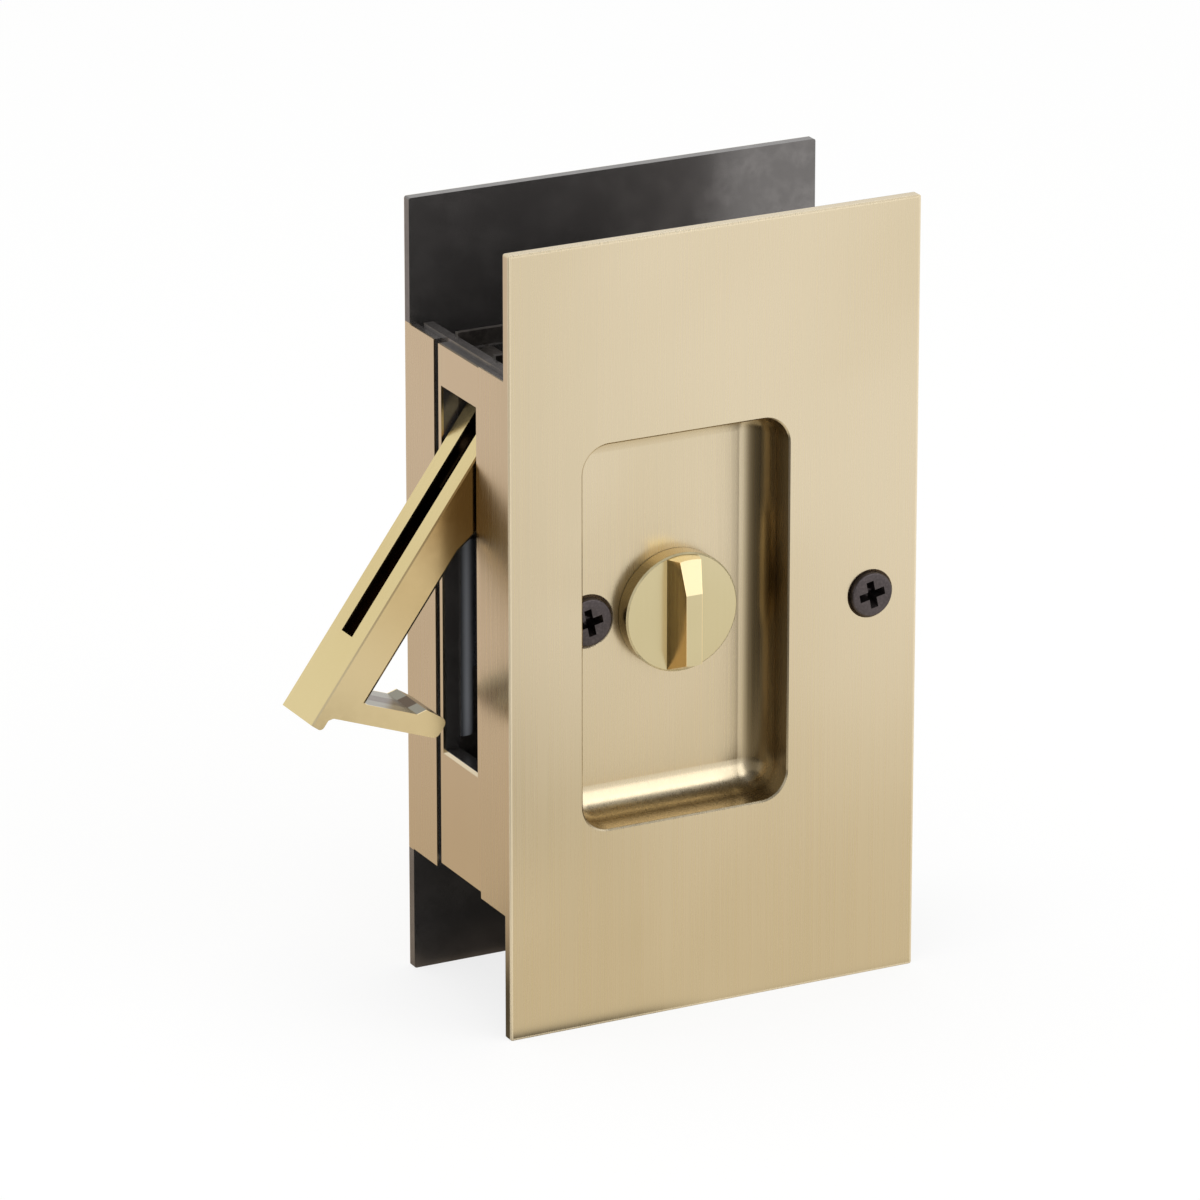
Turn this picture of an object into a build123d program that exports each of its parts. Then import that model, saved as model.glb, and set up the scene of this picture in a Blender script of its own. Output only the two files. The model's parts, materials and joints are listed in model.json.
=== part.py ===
from build123d import *
import math
import os

# Pocket door lock for a sliding door: two recessed plates, a hinged edge pull and a hook bolt.
# Millimetres. X runs into the door from its edge, the thumbturn faces -Y, Z is up.
# The origin is on the door edge, at mid thickness of the door and mid height of the plates.

# Fits
STATIC_FIT = 0.02
RUNNING_FIT = 0.06
SIDE_PLAY = 0.2

# Plates and cups
DOOR_T = 35.0
PLATE_W = 77.0
PLATE_H = 138.0
PLATE_T = 2.0
PLATE_CORNER_R = 0.4
PLATE_EDGE_BREAK = 0.2
FLANGE_T = 1.4
FLANGE_H = 94.0
CUP_X = 33.0
CUP_W = 38.6
CUP_H = 68.0
CUP_DEPTH = 9.1
CUP_R = 4.8
CUP_FLOOR_R = 4.6
CUP_RIM_BREAK = 0.3
CUP_WALL = 1.5
CUP_FLOOR_T = 2.0

# Case and faceplate on the door edge
CASE_SHEET = 1.0
CASE_REAR_GAP = 1.7
CASE_BACK_X = 48.0
CASE_BOTTOM_Z = -46.0
CASE_TOP_Z = 48.4
CASE_SCREW_INSET = 5.0
STANDOFF_R = 2.3
FACE_T = 3.2
LAND_H = 92.6
LAND_Z = 0.5
WING_STEP = 1.0
WING_REACH = 15.0
WINDOW_BOTTOM_Z = -25.1
WINDOW_TOP_Z = 39.7
WINDOW_BREAK = 0.5
TAB_T = 1.0
TAB_LENGTH = 8.0

# Edge pull, drawn shut and then swung open
PULL_PIVOT_X = 5.1
PULL_PIVOT_Z = 28.6
PULL_OPEN_DEG = 35.9
PULL_W = 11.7
PULL_DEPTH = 7.0
PULL_BOTTOM_GAP = 0.5
PULL_TOP_GAP = 0.5
PULL_SLOT_W = 4.0
PULL_SLOT_BOTTOM_Z = -8.7
PULL_SLOT_TOP_Z = 35.0
PULL_EDGE_BREAK = 0.25
PULL_INNER_CHAMFER = 0.8
LUG_R = 6.0
LUG_FLARE_Z = 12.6
FOOT_W = 2.2
FOOT_H = 2.1
LEG_T = 3.4
LEG_RISE_DEG = 16.3
LEG_ROOT_Z = -17.0
LEG_REACH = 22.2
LIP_H = 1.1
LIP_L = 4.6
LIP_TIP_R = 1.1
LEG_CORNER_R = 0.8
PIVOT_PIN_R = 1.5

# Torsion spring on the pull's pin
SPRING_WIRE_R = 0.35
SPRING_COIL_R = 2.3
SPRING_TURNS = 4
SPRING_WIRE_SIDES = 6
SPRING_PITCH = 0.62
SPRING_LEG = 9.0
SPRING_LEG_DEG = 7.0
STOP_R = 1.2
STOP_DZ = 8.6
STOP_GAP = 0.3

# Liner and catch behind the window
LINER_BACK_X = 7.6
LINER_WALL = 1.0
LINER_CHEEK = 0.45
LINER_CORNER_R = 2.0
LINER_TOP_Z = 12.0
LINER_BOTTOM_Z = -10.8
LINER_BRIDGE = 2.0
CHEEK_BOTTOM_Z = -23.0
CHEEK_BACK_X = 5.4
CATCH_L = 6.0
CATCH_H = 8.0
CATCH_W = 8.0
CATCH_FINGER_T = 1.0
CATCH_FINGER_L = 8.0
CATCH_CLEARANCE = 0.5
CATCH_PEG_R = 1.5

# Hook bolt and its drive
SPINDLE_X = 35.4
BOLT_PIVOT_X = 12.0
BOLT_T = 2.0
BOLT_ARM_L = 22.0
BOLT_ARM_W = 6.4
BOLT_BARB_L = 4.5
BOLT_BARB_H = 4.5
BOLT_BARB_HANG = 1.1
BOLT_BARB_TIP = 2.6
BOLT_NOSE_R = 2.1
BOLT_THROAT_R = 0.9
BOLT_HUB_R = 3.2
BOLT_PIN_R = 1.6
LINK_T = 1.4
LINK_W = 4.2
CRANK_R = 9.0
CRANK_REST_DEG = 45.0
CRANK_PIN_R = 1.2
CRANK_BOSS_R = 2.3
CRANK_ARM_W = 3.4
CAM_HUB_R = 3.6
CAM_DETENT_W = 7.0
CAM_DETENT_R = 0.8
LEAF_T = 0.4
LEAF_W = 3.6
LEAF_CLEARANCE = 0.1
LEAF_TAB = 8.0
LEAF_OVERHANG = 5.0

# Thumbturn, emergency turn and spindle
SPINDLE_SQUARE = 3.5
SPINDLE_SOCKET = 3.0
TURN_HUB_R = 4.0
TURN_D = 21.0
TURN_DISC_T = 3.0
TURN_EDGE_BREAK = 0.3
TURN_BAR_BASE = 5.8
TURN_BAR_TOP = 3.0
TURN_BAR_H = 4.4
TURN_BAR_END_H = 2.8
TURN_BAR_TAIL_H = 3.0
TURN_BAR_FACET_Z = 4.4
TURN_FLOOR_GAP = 0.1
BUSH_WALL = 1.0
CLIP_T = 0.8
CLIP_PLAY = 0.1
CLIP_R = 6.0
CLIP_GROOVE = 0.6
CLIP_MOUTH = 4.0
EMERGENCY_D = 15.0
EMERGENCY_T = 2.2
EMERGENCY_BREAK = 0.5
COIN_SLOT_W = 1.6
COIN_SLOT_L = 11.0
COIN_SLOT_DEPTH = 1.1

# Screws and posts
EDGE_SCREW_X = 19.2
EDGE_HEAD_R = 4.15
EDGE_SINK_R = 4.8
BACK_SCREW_X = 68.0
BACK_HEAD_R = 3.85
BACK_SINK_R = 4.3
SCREW_R = 2.05
SCREW_HEAD_CONE = 1.6
SCREW_SUNK = 0.2
SCREW_GRIP = 12.0
CROSS_SPAN = 4.9
CROSS_W = 1.4
CROSS_DEPTH = 1.5
CROSS_TAPER_DEG = 11.5
CROSS_TURN_DEG = -12.0
EDGE_POST_R = 3.0
EDGE_SHOULDER_R = 4.6
BACK_POST_R = 4.0
POST_SPIGOT_R = 2.5
POST_SPIGOT_L = 1.2
POST_COLLAR_T = 2.0
POST_RECESS = 0.4
POST_RECESS_PLAY = 0.1
POST_MOUTH = 0.5
CASE_SCREW_R = 1.25
CASE_HEAD_R = 2.3
CASE_CROWN_R = 1.7
CASE_HEAD_T = 1.3
CASE_HEAD_EDGE = 0.65
CASE_SLOT_W = 0.75
CASE_SLOT_DEPTH = 0.65
CASE_SCREW_L = 6.0

# Places worked out from the driving sizes
FRONT_FACE_Y = -(DOOR_T / 2 + PLATE_T)
FRONT_SEAT_Y = -DOOR_T / 2
FLOOR_FACE_Y = FRONT_FACE_Y + CUP_DEPTH
FLOOR_BACK_Y = FLOOR_FACE_Y + CUP_FLOOR_T
CASE_FRONT_Y = FLOOR_BACK_Y
CASE_REAR_Y = -FLOOR_BACK_Y - CASE_REAR_GAP
CAVITY_FRONT_Y = CASE_FRONT_Y + CASE_SHEET
CAVITY_REAR_Y = CASE_REAR_Y - CASE_SHEET
MID_Y = (CASE_FRONT_Y + CASE_REAR_Y) / 2
SLOT_FRONT_Y = MID_Y - PULL_SLOT_W / 2
SLOT_REAR_Y = MID_Y + PULL_SLOT_W / 2
BOLT_FRONT_Y = SLOT_FRONT_Y + SIDE_PLAY
BOLT_REAR_Y = BOLT_FRONT_Y + BOLT_T
LINK_FRONT_Y = BOLT_REAR_Y + SIDE_PLAY
LINK_REAR_Y = LINK_FRONT_Y + LINK_T
HUB_FRONT_Y = CAVITY_FRONT_Y + SIDE_PLAY
HUB_REAR_Y = CAVITY_REAR_Y - SIDE_PLAY
CLIP_FRONT_Y = FLOOR_BACK_Y + CLIP_PLAY
TURN_HUB_END_Y = CLIP_FRONT_Y + CLIP_T + CLIP_GROOVE
CAM_FRONT_Y = TURN_HUB_END_Y + SIDE_PLAY
PULL_BOTTOM_Z = WINDOW_BOTTOM_Z + PULL_BOTTOM_GAP
PULL_TOP_R = WINDOW_TOP_Z - PULL_TOP_GAP - PULL_PIVOT_Z
CRANK_DX = CRANK_R * math.cos(math.radians(CRANK_REST_DEG))
CRANK_DZ = CRANK_R * math.sin(math.radians(CRANK_REST_DEG))
BUSH_R = TURN_HUB_R + RUNNING_FIT + BUSH_WALL
CASE_FRONT_X = FACE_T
STANDOFFS = [
    (x, z)
    for x in (CASE_FRONT_X + CASE_SCREW_INSET, CASE_BACK_X - CASE_SCREW_INSET)
    for z in (CASE_BOTTOM_Z + CASE_SCREW_INSET, CASE_TOP_Z - CASE_SCREW_INSET)
]


def slab(outline, y_low, y_high):
    """Solid of an outline drawn in X and Z, from one Y to another."""
    return extrude(Plane.XZ.offset(-y_high) * outline, amount=y_high - y_low)


def rod(x, z, radius, y_low, y_high):
    """Round bar along Y."""
    return slab(Pos(x, z) * Circle(radius), y_low, y_high)


def block(x_low, x_high, y_low, y_high, z_low, z_high):
    """Box between two corners."""
    size = (x_high - x_low, y_high - y_low, z_high - z_low)
    centre = ((x_low + x_high) / 2, (y_low + y_high) / 2, (z_low + z_high) / 2)
    return Pos(*centre) * Box(*size)


def turned(x, z, profile):
    """Solid of revolution about a Y axis, from (radius, y) points."""
    outline = Polyline(*[(x + radius, y, z) for radius, y in profile], close=True)
    return revolve(make_face(outline), axis=Axis((x, 0, z), (0, 1, 0)))


def corner_round(outline, x, z, radius):
    """Round the corner of an outline that lies nearest to a point."""
    return fillet(outline.vertices().sort_by_distance((x, z, 0))[0], radius)


def to_rear(shape):
    """Mirror a front piece to the rear of the door."""
    return mirror(shape, about=Plane.XZ)


def plate_with_cup():
    """Front plate before its holes: flat plate, drawn cup and edge flange in one piece."""
    outline = Pos(PLATE_W / 2, 0) * RectangleRounded(PLATE_W, PLATE_H, PLATE_CORNER_R)
    plate = slab(outline, FRONT_FACE_Y, FRONT_SEAT_Y)
    plate = chamfer(plate.faces().sort_by(Axis.Y)[0].edges(), PLATE_EDGE_BREAK)
    shell = Pos(CUP_X, 0) * RectangleRounded(CUP_W + 2 * CUP_WALL, CUP_H + 2 * CUP_WALL, CUP_R + CUP_WALL)
    plate += slab(shell, FRONT_SEAT_Y, FLOOR_BACK_Y)
    hollow = slab(Pos(CUP_X, 0) * RectangleRounded(CUP_W, CUP_H, CUP_R), FRONT_FACE_Y, FLOOR_FACE_Y)
    hollow = fillet(hollow.faces().sort_by(Axis.Y)[-1].edges(), CUP_FLOOR_R)
    plate -= hollow
    rim = plate.faces().sort_by(Axis.Y)[0].inner_wires()[0]
    plate = chamfer(rim.edges(), CUP_RIM_BREAK)
    flange_y = FRONT_FACE_Y + PLATE_EDGE_BREAK
    plate += block(0, FLANGE_T, flange_y, FLOOR_BACK_Y, -FLANGE_H / 2, FLANGE_H / 2)
    return plate


def front_plate():
    """Plate on the thumbturn side, with two countersunk holes and the bearing hole."""
    plate = plate_with_cup()
    plate -= rod(SPINDLE_X, 0, BUSH_R + STATIC_FIT, FLOOR_FACE_Y, FLOOR_BACK_Y)
    plate -= countersink(EDGE_SCREW_X, FLOOR_FACE_Y, EDGE_SINK_R, CUP_FLOOR_T, CUP_FLOOR_R)
    plate -= countersink(BACK_SCREW_X, FRONT_FACE_Y, BACK_SINK_R, PLATE_T, PLATE_EDGE_BREAK)
    recess_r = BACK_POST_R + POST_RECESS_PLAY
    return plate - rod(BACK_SCREW_X, 0, recess_r, FRONT_SEAT_Y - POST_RECESS, FRONT_SEAT_Y)


def countersink(x, face_y, sink_r, sheet_t, open_h):
    """Cutter for a countersunk hole through a sheet, with a clear mouth in front of it."""
    hole_r = SCREW_R + SIDE_PLAY
    cone_end = face_y + min(SCREW_HEAD_CONE + SCREW_SUNK, sheet_t)
    profile = [(0, face_y - open_h), (sink_r, face_y - open_h), (sink_r, face_y)]
    profile += [(hole_r, cone_end), (hole_r, face_y + sheet_t), (0, face_y + sheet_t)]
    if cone_end >= face_y + sheet_t:
        profile.pop(4)
    return turned(x, 0, profile)


def rear_plate():
    """Plate on the far side: blind sockets for the posts and no screw heads."""
    plate = to_rear(plate_with_cup())
    plate -= rod(SPINDLE_X, 0, BUSH_R + STATIC_FIT, -FLOOR_BACK_Y, -FLOOR_FACE_Y)
    socket_r = POST_SPIGOT_R + STATIC_FIT
    plate -= rod(EDGE_SCREW_X, 0, socket_r, -FLOOR_BACK_Y, -FLOOR_BACK_Y + POST_SPIGOT_L)
    recess_y = -FRONT_SEAT_Y + POST_RECESS
    plate -= rod(BACK_SCREW_X, 0, socket_r, recess_y, recess_y + POST_SPIGOT_L)
    recess_r = EDGE_SHOULDER_R + POST_RECESS_PLAY
    return plate - rod(BACK_SCREW_X, 0, recess_r, -FRONT_SEAT_Y, recess_y)


def edge_faceplate():
    """Land on the door edge, its wings behind the flanges, its window and its two tabs."""
    low_z = LAND_Z - LAND_H / 2
    high_z = LAND_Z + LAND_H / 2
    land = block(0, FACE_T, CASE_FRONT_Y, CASE_REAR_Y, low_z, high_z)
    wing_x = FLANGE_T + STATIC_FIT
    land += block(wing_x, FACE_T, -WING_REACH, WING_REACH, low_z - WING_STEP, high_z + WING_STEP)
    window = block(0, FACE_T, CAVITY_FRONT_Y, CAVITY_REAR_Y, WINDOW_BOTTOM_Z, WINDOW_TOP_Z)
    land -= window
    sill = land.edges().filter_by(Axis.Y).sort_by_distance((0, MID_Y, WINDOW_BOTTOM_Z))[0]
    land = chamfer(sill, WINDOW_BREAK)
    for x, z in STANDOFFS[:2]:
        inner_z = z - math.copysign(STANDOFF_R + TAB_T, z)
        outer_z = z + math.copysign(STANDOFF_R, z)
        tab_y = CAVITY_REAR_Y - STATIC_FIT
        tab_z = (min(inner_z, outer_z), max(inner_z, outer_z))
        tab = block(FACE_T, FACE_T + TAB_LENGTH, tab_y - TAB_T, tab_y, *tab_z)
        land += tab - rod(x, z, STANDOFF_R + STATIC_FIT, tab_y - TAB_T, tab_y)
    return land


def lock_case():
    """Open-topped box: rear wall, bottom, back wall, screw standoffs and the pull's stop."""
    case = block(CASE_FRONT_X, CASE_BACK_X, CAVITY_REAR_Y, CASE_REAR_Y, CASE_BOTTOM_Z, CASE_TOP_Z)
    floor_z = CASE_BOTTOM_Z + CASE_SHEET
    case += block(CASE_FRONT_X, CASE_BACK_X, CAVITY_FRONT_Y, CAVITY_REAR_Y, CASE_BOTTOM_Z, floor_z)
    wall_x = CASE_BACK_X - CASE_SHEET
    case += block(wall_x, CASE_BACK_X, CAVITY_FRONT_Y, CAVITY_REAR_Y, floor_z, CASE_TOP_Z)
    case -= rod(EDGE_SCREW_X, 0, EDGE_POST_R + STATIC_FIT, CAVITY_REAR_Y, CASE_REAR_Y)
    case -= rod(SPINDLE_X, 0, SPINDLE_SQUARE, CAVITY_REAR_Y, CASE_REAR_Y)
    case -= rod(BOLT_PIVOT_X, 0, BOLT_PIN_R + STATIC_FIT, CAVITY_REAR_Y, CASE_REAR_Y)
    case -= rod(PULL_PIVOT_X, PULL_PIVOT_Z, PIVOT_PIN_R + STATIC_FIT, CAVITY_REAR_Y, CASE_REAR_Y)
    catch_x, catch_z = catch_place()
    case -= rod(catch_x, catch_z, CATCH_PEG_R + STATIC_FIT, CAVITY_REAR_Y, CASE_REAR_Y)
    case += rod(*stop_place(), STOP_R, CAVITY_FRONT_Y, CAVITY_REAR_Y)
    for x, z in STANDOFFS:
        case += rod(x, z, STANDOFF_R, CAVITY_FRONT_Y, CAVITY_REAR_Y)
        case -= rod(x, z, CASE_SCREW_R + STATIC_FIT, CAVITY_FRONT_Y, CAVITY_FRONT_Y + CASE_SCREW_L)
    return case


def case_cover():
    """Side sheet against the front cup's floor."""
    middle = Pos((CASE_FRONT_X + CASE_BACK_X) / 2, (CASE_BOTTOM_Z + CASE_TOP_Z) / 2)
    sheet = middle * Rectangle(CASE_BACK_X - CASE_FRONT_X, CASE_TOP_Z - CASE_BOTTOM_Z)
    holes = [(EDGE_SCREW_X, 0, EDGE_POST_R + STATIC_FIT), (SPINDLE_X, 0, CLIP_R + SIDE_PLAY)]
    holes += [(BOLT_PIVOT_X, 0, BOLT_PIN_R + STATIC_FIT)]
    holes += [(PULL_PIVOT_X, PULL_PIVOT_Z, PIVOT_PIN_R + STATIC_FIT)]
    holes += [(x, z, CASE_SCREW_R + STATIC_FIT) for x, z in STANDOFFS]
    for x, z, radius in holes:
        sheet -= Pos(x, z) * Circle(radius)
    return slab(sheet, CASE_FRONT_Y, CAVITY_FRONT_Y)


def case_screws():
    """Four pan-head screws through the cover into the standoffs."""
    head_y = CASE_FRONT_Y - CASE_HEAD_T
    screws = []
    for x, z in STANDOFFS:
        profile = [(0, head_y), (CASE_CROWN_R, head_y), (CASE_HEAD_R, head_y + CASE_HEAD_EDGE)]
        profile += [(CASE_HEAD_R, CASE_FRONT_Y), (CASE_SCREW_R, CASE_FRONT_Y)]
        end_y = CAVITY_FRONT_Y + CASE_SCREW_L - SIDE_PLAY
        profile += [(CASE_SCREW_R, end_y), (0, end_y)]
        slot = Pos(x, z) * Rectangle(2 * CASE_HEAD_R, CASE_SLOT_W)
        screws.append(turned(x, z, profile) - slab(slot, head_y, head_y + CASE_SLOT_DEPTH))
    return Compound(children=screws)


def leg_outline():
    """Finger leg at the foot of the pull, from its root to the raised lip at its tip."""
    rise = math.tan(math.radians(LEG_RISE_DEG))
    drop = LEG_T / math.cos(math.radians(LEG_RISE_DEG))
    lip_x = LEG_REACH - LIP_L
    tip_top = LEG_ROOT_Z + (LEG_REACH - PULL_DEPTH) * rise
    tip_low = tip_top - drop
    points = [
        (FOOT_W, LEG_ROOT_Z - drop - (PULL_DEPTH - FOOT_W) * rise),
        (LEG_REACH, tip_low),
        (LEG_REACH, tip_top),
        (lip_x, LEG_ROOT_Z + (lip_x - PULL_DEPTH) * rise + LIP_H),
        (lip_x - LIP_H, LEG_ROOT_Z + (lip_x - LIP_H - PULL_DEPTH) * rise),
        (PULL_DEPTH, LEG_ROOT_Z),
        (FOOT_W, LEG_ROOT_Z),
    ]
    outline = make_face(Polyline(*points, close=True))
    outline = corner_round(outline, LEG_REACH, tip_low, LIP_TIP_R)
    return corner_round(outline, LEG_REACH, tip_top, LIP_TIP_R)


def bar_outline():
    """Side view of the pull's bar when it is shut: straight face, rounded top, pivot lug and foot."""
    bar_points = [
        (0, PULL_PIVOT_Z),
        (0, PULL_BOTTOM_Z),
        (FOOT_W, PULL_BOTTOM_Z),
        (FOOT_W, PULL_BOTTOM_Z + FOOT_H),
        (PULL_DEPTH, LEG_ROOT_Z),
        (PULL_DEPTH, PULL_PIVOT_Z),
    ]
    outline = make_face(Polyline(*bar_points, close=True))
    outline = corner_round(outline, FOOT_W, PULL_BOTTOM_Z, LEG_CORNER_R)
    pivot = Pos(PULL_PIVOT_X, PULL_PIVOT_Z)
    crown = Pos(PULL_DEPTH / 2, PULL_PIVOT_Z + PULL_TOP_R / 2) * Rectangle(PULL_DEPTH, PULL_TOP_R)
    outline += crown & (pivot * Circle(PULL_TOP_R))
    outline += pivot * Circle(LUG_R)
    reach = math.hypot(PULL_DEPTH - PULL_PIVOT_X, LUG_FLARE_Z - PULL_PIVOT_Z)
    toward = math.atan2(LUG_FLARE_Z - PULL_PIVOT_Z, PULL_DEPTH - PULL_PIVOT_X)
    touch = toward + math.acos(LUG_R / reach)
    tangent = (PULL_PIVOT_X + LUG_R * math.cos(touch), PULL_PIVOT_Z + LUG_R * math.sin(touch))
    flare = [(PULL_DEPTH, LUG_FLARE_Z), tangent, (PULL_PIVOT_X, PULL_PIVOT_Z), (0, LUG_FLARE_Z)]
    outline += make_face(Polyline(*flare, close=True))
    face_side = Pos(LEG_REACH, 0) * Rectangle(2 * LEG_REACH, PLATE_H)
    return outline & face_side


def edge_pull():
    """Slotted bar with its finger leg, swung open about its pin."""
    front_y = MID_Y - PULL_W / 2
    rear_y = MID_Y + PULL_W / 2
    pull = slab(bar_outline(), front_y, rear_y)
    inner = [
        edge
        for edge in pull.edges().filter_by(GeomType.LINE).filter_by(Axis.Y, reverse=True)
        if edge.center().X > PULL_DEPTH - STATIC_FIT and LEG_ROOT_Z < edge.center().Z < PULL_PIVOT_Z
    ]
    pull = chamfer(inner, PULL_INNER_CHAMFER)
    face_edges = [
        edge
        for edge in pull.edges().filter_by(Axis.Z)
        if abs(edge.center().X) < STATIC_FIT
    ]
    pull = chamfer(face_edges, PULL_EDGE_BREAK)
    pull += slab(leg_outline(), front_y, rear_y)
    slot_z = (PULL_SLOT_BOTTOM_Z, PULL_SLOT_TOP_Z)
    pull -= block(-LUG_R, 2 * PULL_PIVOT_X + LUG_R, SLOT_FRONT_Y, SLOT_REAR_Y, *slot_z)
    pull -= rod(PULL_PIVOT_X, PULL_PIVOT_Z, PIVOT_PIN_R + RUNNING_FIT, front_y, rear_y)
    return swing(pull)


def swing(shape):
    """Turn a shape from the shut place of the pull to its open place."""
    return shape.rotate(Axis((PULL_PIVOT_X, 0, PULL_PIVOT_Z), (0, 1, 0)), PULL_OPEN_DEG)


def pull_pivot_pin():
    """Pin across the case that the pull turns on."""
    return rod(PULL_PIVOT_X, PULL_PIVOT_Z, PIVOT_PIN_R, CASE_FRONT_Y, CASE_REAR_Y)


def pull_spring():
    """Close-wound torsion spring round the pin, one leg in the pull's slot and one under the stop."""
    first_y = MID_Y - (SPRING_TURNS - 1) * SPRING_PITCH / 2
    last_y = first_y + (SPRING_TURNS - 1) * SPRING_PITCH
    wire_section = RegularPolygon(SPRING_WIRE_R, SPRING_WIRE_SIDES, rotation=90)
    section = Sketch()
    for index in range(SPRING_TURNS):
        section += Pos(PULL_PIVOT_X + SPRING_COIL_R, first_y + index * SPRING_PITCH) * wire_section
    axis = Axis((PULL_PIVOT_X, 0, PULL_PIVOT_Z), (0, 1, 0))
    spring = revolve(Plane.XY.offset(PULL_PIVOT_Z) * section, axis=axis)
    wire = Pos(0, 0, -SPRING_WIRE_R) * extrude(wire_section, amount=SPRING_LEG)
    case_leg = Pos(PULL_PIVOT_X - SPRING_COIL_R, first_y, PULL_PIVOT_Z) * wire
    spring += case_leg.rotate(axis, 90 - SPRING_LEG_DEG)
    pull_leg = Pos(PULL_PIVOT_X - SPRING_COIL_R, last_y, PULL_PIVOT_Z) * Rot(180, 0, 0) * wire
    spring += swing(pull_leg)
    return spring


def stop_place():
    """Centre of the stop that the top of the open pull comes to rest against."""
    shut_x = PULL_DEPTH - PULL_PIVOT_X + STOP_R + STOP_GAP
    angle = math.radians(PULL_OPEN_DEG)
    x = PULL_PIVOT_X + shut_x * math.cos(angle) + STOP_DZ * math.sin(angle)
    z = PULL_PIVOT_Z - shut_x * math.sin(angle) + STOP_DZ * math.cos(angle)
    return x, z


def pocket_liner():
    """Black trough behind the window, slit for the bolt and open below for the pull's leg."""
    front_y = CAVITY_FRONT_Y + STATIC_FIT
    rear_y = CAVITY_REAR_Y - STATIC_FIT
    face_x = FACE_T + STATIC_FIT
    back_x = LINER_BACK_X + LINER_WALL
    liner = block(face_x, back_x, front_y, rear_y, LINER_BOTTOM_Z, LINER_TOP_Z)
    inside = block(0, LINER_BACK_X, front_y + LINER_CHEEK, rear_y - LINER_CHEEK, LINER_BOTTOM_Z, LINER_TOP_Z)
    corners = [
        edge
        for edge in inside.edges().filter_by(Axis.Z)
        if abs(edge.center().X - LINER_BACK_X) < STATIC_FIT
    ]
    liner -= fillet(corners, LINER_CORNER_R)
    slit_z = (LINER_BOTTOM_Z + LINER_BRIDGE, LINER_TOP_Z)
    liner -= block(face_x, back_x, SLOT_FRONT_Y, SLOT_REAR_Y, *slit_z)
    for y in (front_y, rear_y - LINER_CHEEK):
        middle = ((face_x + CHEEK_BACK_X) / 2, (CHEEK_BOTTOM_Z + LINER_BOTTOM_Z) / 2)
        cheek = Pos(*middle) * Rectangle(CHEEK_BACK_X - face_x, LINER_BOTTOM_Z - CHEEK_BOTTOM_Z)
        cheek = corner_round(cheek, CHEEK_BACK_X, CHEEK_BOTTOM_Z, LEG_CORNER_R)
        liner += slab(cheek, y, y + LINER_CHEEK)
    return liner


def catch_place():
    """Middle of the catch block, just past the tip of the leg when the pull is shut."""
    rise = math.tan(math.radians(LEG_RISE_DEG))
    tip_z = LEG_ROOT_Z + (LEG_REACH - PULL_DEPTH) * rise
    return LEG_REACH + LIP_H + CATCH_L / 2, tip_z


def pull_catch():
    """Moulded block with a finger over the leg's lip, pegged to the case."""
    x, z = catch_place()
    rise = math.tan(math.radians(LEG_RISE_DEG))
    lip_x = LEG_REACH - LIP_L
    lip_top = LEG_ROOT_Z + (lip_x - PULL_DEPTH) * rise + LIP_H
    finger_low = max(lip_top, z) + LIP_H + CATCH_CLEARANCE
    rear_y = CAVITY_REAR_Y
    front_y = rear_y - CATCH_W
    finger_high = finger_low + CATCH_FINGER_T
    near_x = x - CATCH_L / 2
    catch = block(near_x, near_x + CATCH_L, front_y, rear_y, z - CATCH_H / 2, finger_high)
    catch += block(near_x - CATCH_FINGER_L, x, front_y, rear_y, finger_low, finger_high)
    root_place = (near_x, rear_y - CATCH_W / 2, finger_low)
    root = catch.edges().filter_by(Axis.Y).sort_by_distance(root_place)[0]
    catch = fillet(root, CATCH_FINGER_T)
    catch += rod(x, z, CATCH_PEG_R, rear_y, CASE_REAR_Y)
    return catch


def hook_outline():
    """Bolt seen from the front when drawn back: arm up, barb towards the door edge, tail to its crank."""
    left = -BOLT_ARM_W / 2
    barb_z = BOLT_ARM_L - BOLT_BARB_H
    points = [
        (left, 0),
        (left, barb_z),
        (left - BOLT_BARB_L, barb_z - BOLT_BARB_HANG),
        (left - BOLT_BARB_L, barb_z - BOLT_BARB_HANG + BOLT_BARB_TIP),
        (left, BOLT_ARM_L),
        (-left, BOLT_ARM_L),
        (-left, 0),
    ]
    arm = make_face(Polyline(*points, close=True))
    arm = corner_round(arm, -left, BOLT_ARM_L, BOLT_NOSE_R)
    arm = corner_round(arm, left, barb_z, BOLT_THROAT_R)
    arm += Circle(BOLT_ARM_W / 2)
    tail = Pos(CRANK_DX / 2, CRANK_DZ / 2) * Rot(0, 0, CRANK_REST_DEG) * Rectangle(CRANK_R, CRANK_ARM_W)
    return arm + tail + Pos(CRANK_DX, CRANK_DZ) * Circle(CRANK_BOSS_R)


def hook_bolt():
    """Flat hook with a through hub."""
    bolt = slab(Pos(BOLT_PIVOT_X, 0) * hook_outline(), BOLT_FRONT_Y, BOLT_REAR_Y)
    bolt += rod(BOLT_PIVOT_X, 0, BOLT_HUB_R, HUB_FRONT_Y, HUB_REAR_Y)
    bolt -= rod(BOLT_PIVOT_X, 0, BOLT_PIN_R + RUNNING_FIT, HUB_FRONT_Y, HUB_REAR_Y)
    bolt -= rod(BOLT_PIVOT_X + CRANK_DX, CRANK_DZ, CRANK_PIN_R + STATIC_FIT, BOLT_FRONT_Y, BOLT_REAR_Y)
    return bolt


def bolt_pivot_pin():
    """Pin across the case that the bolt turns on."""
    return rod(BOLT_PIVOT_X, 0, BOLT_PIN_R, CASE_FRONT_Y, CASE_REAR_Y)


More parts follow.
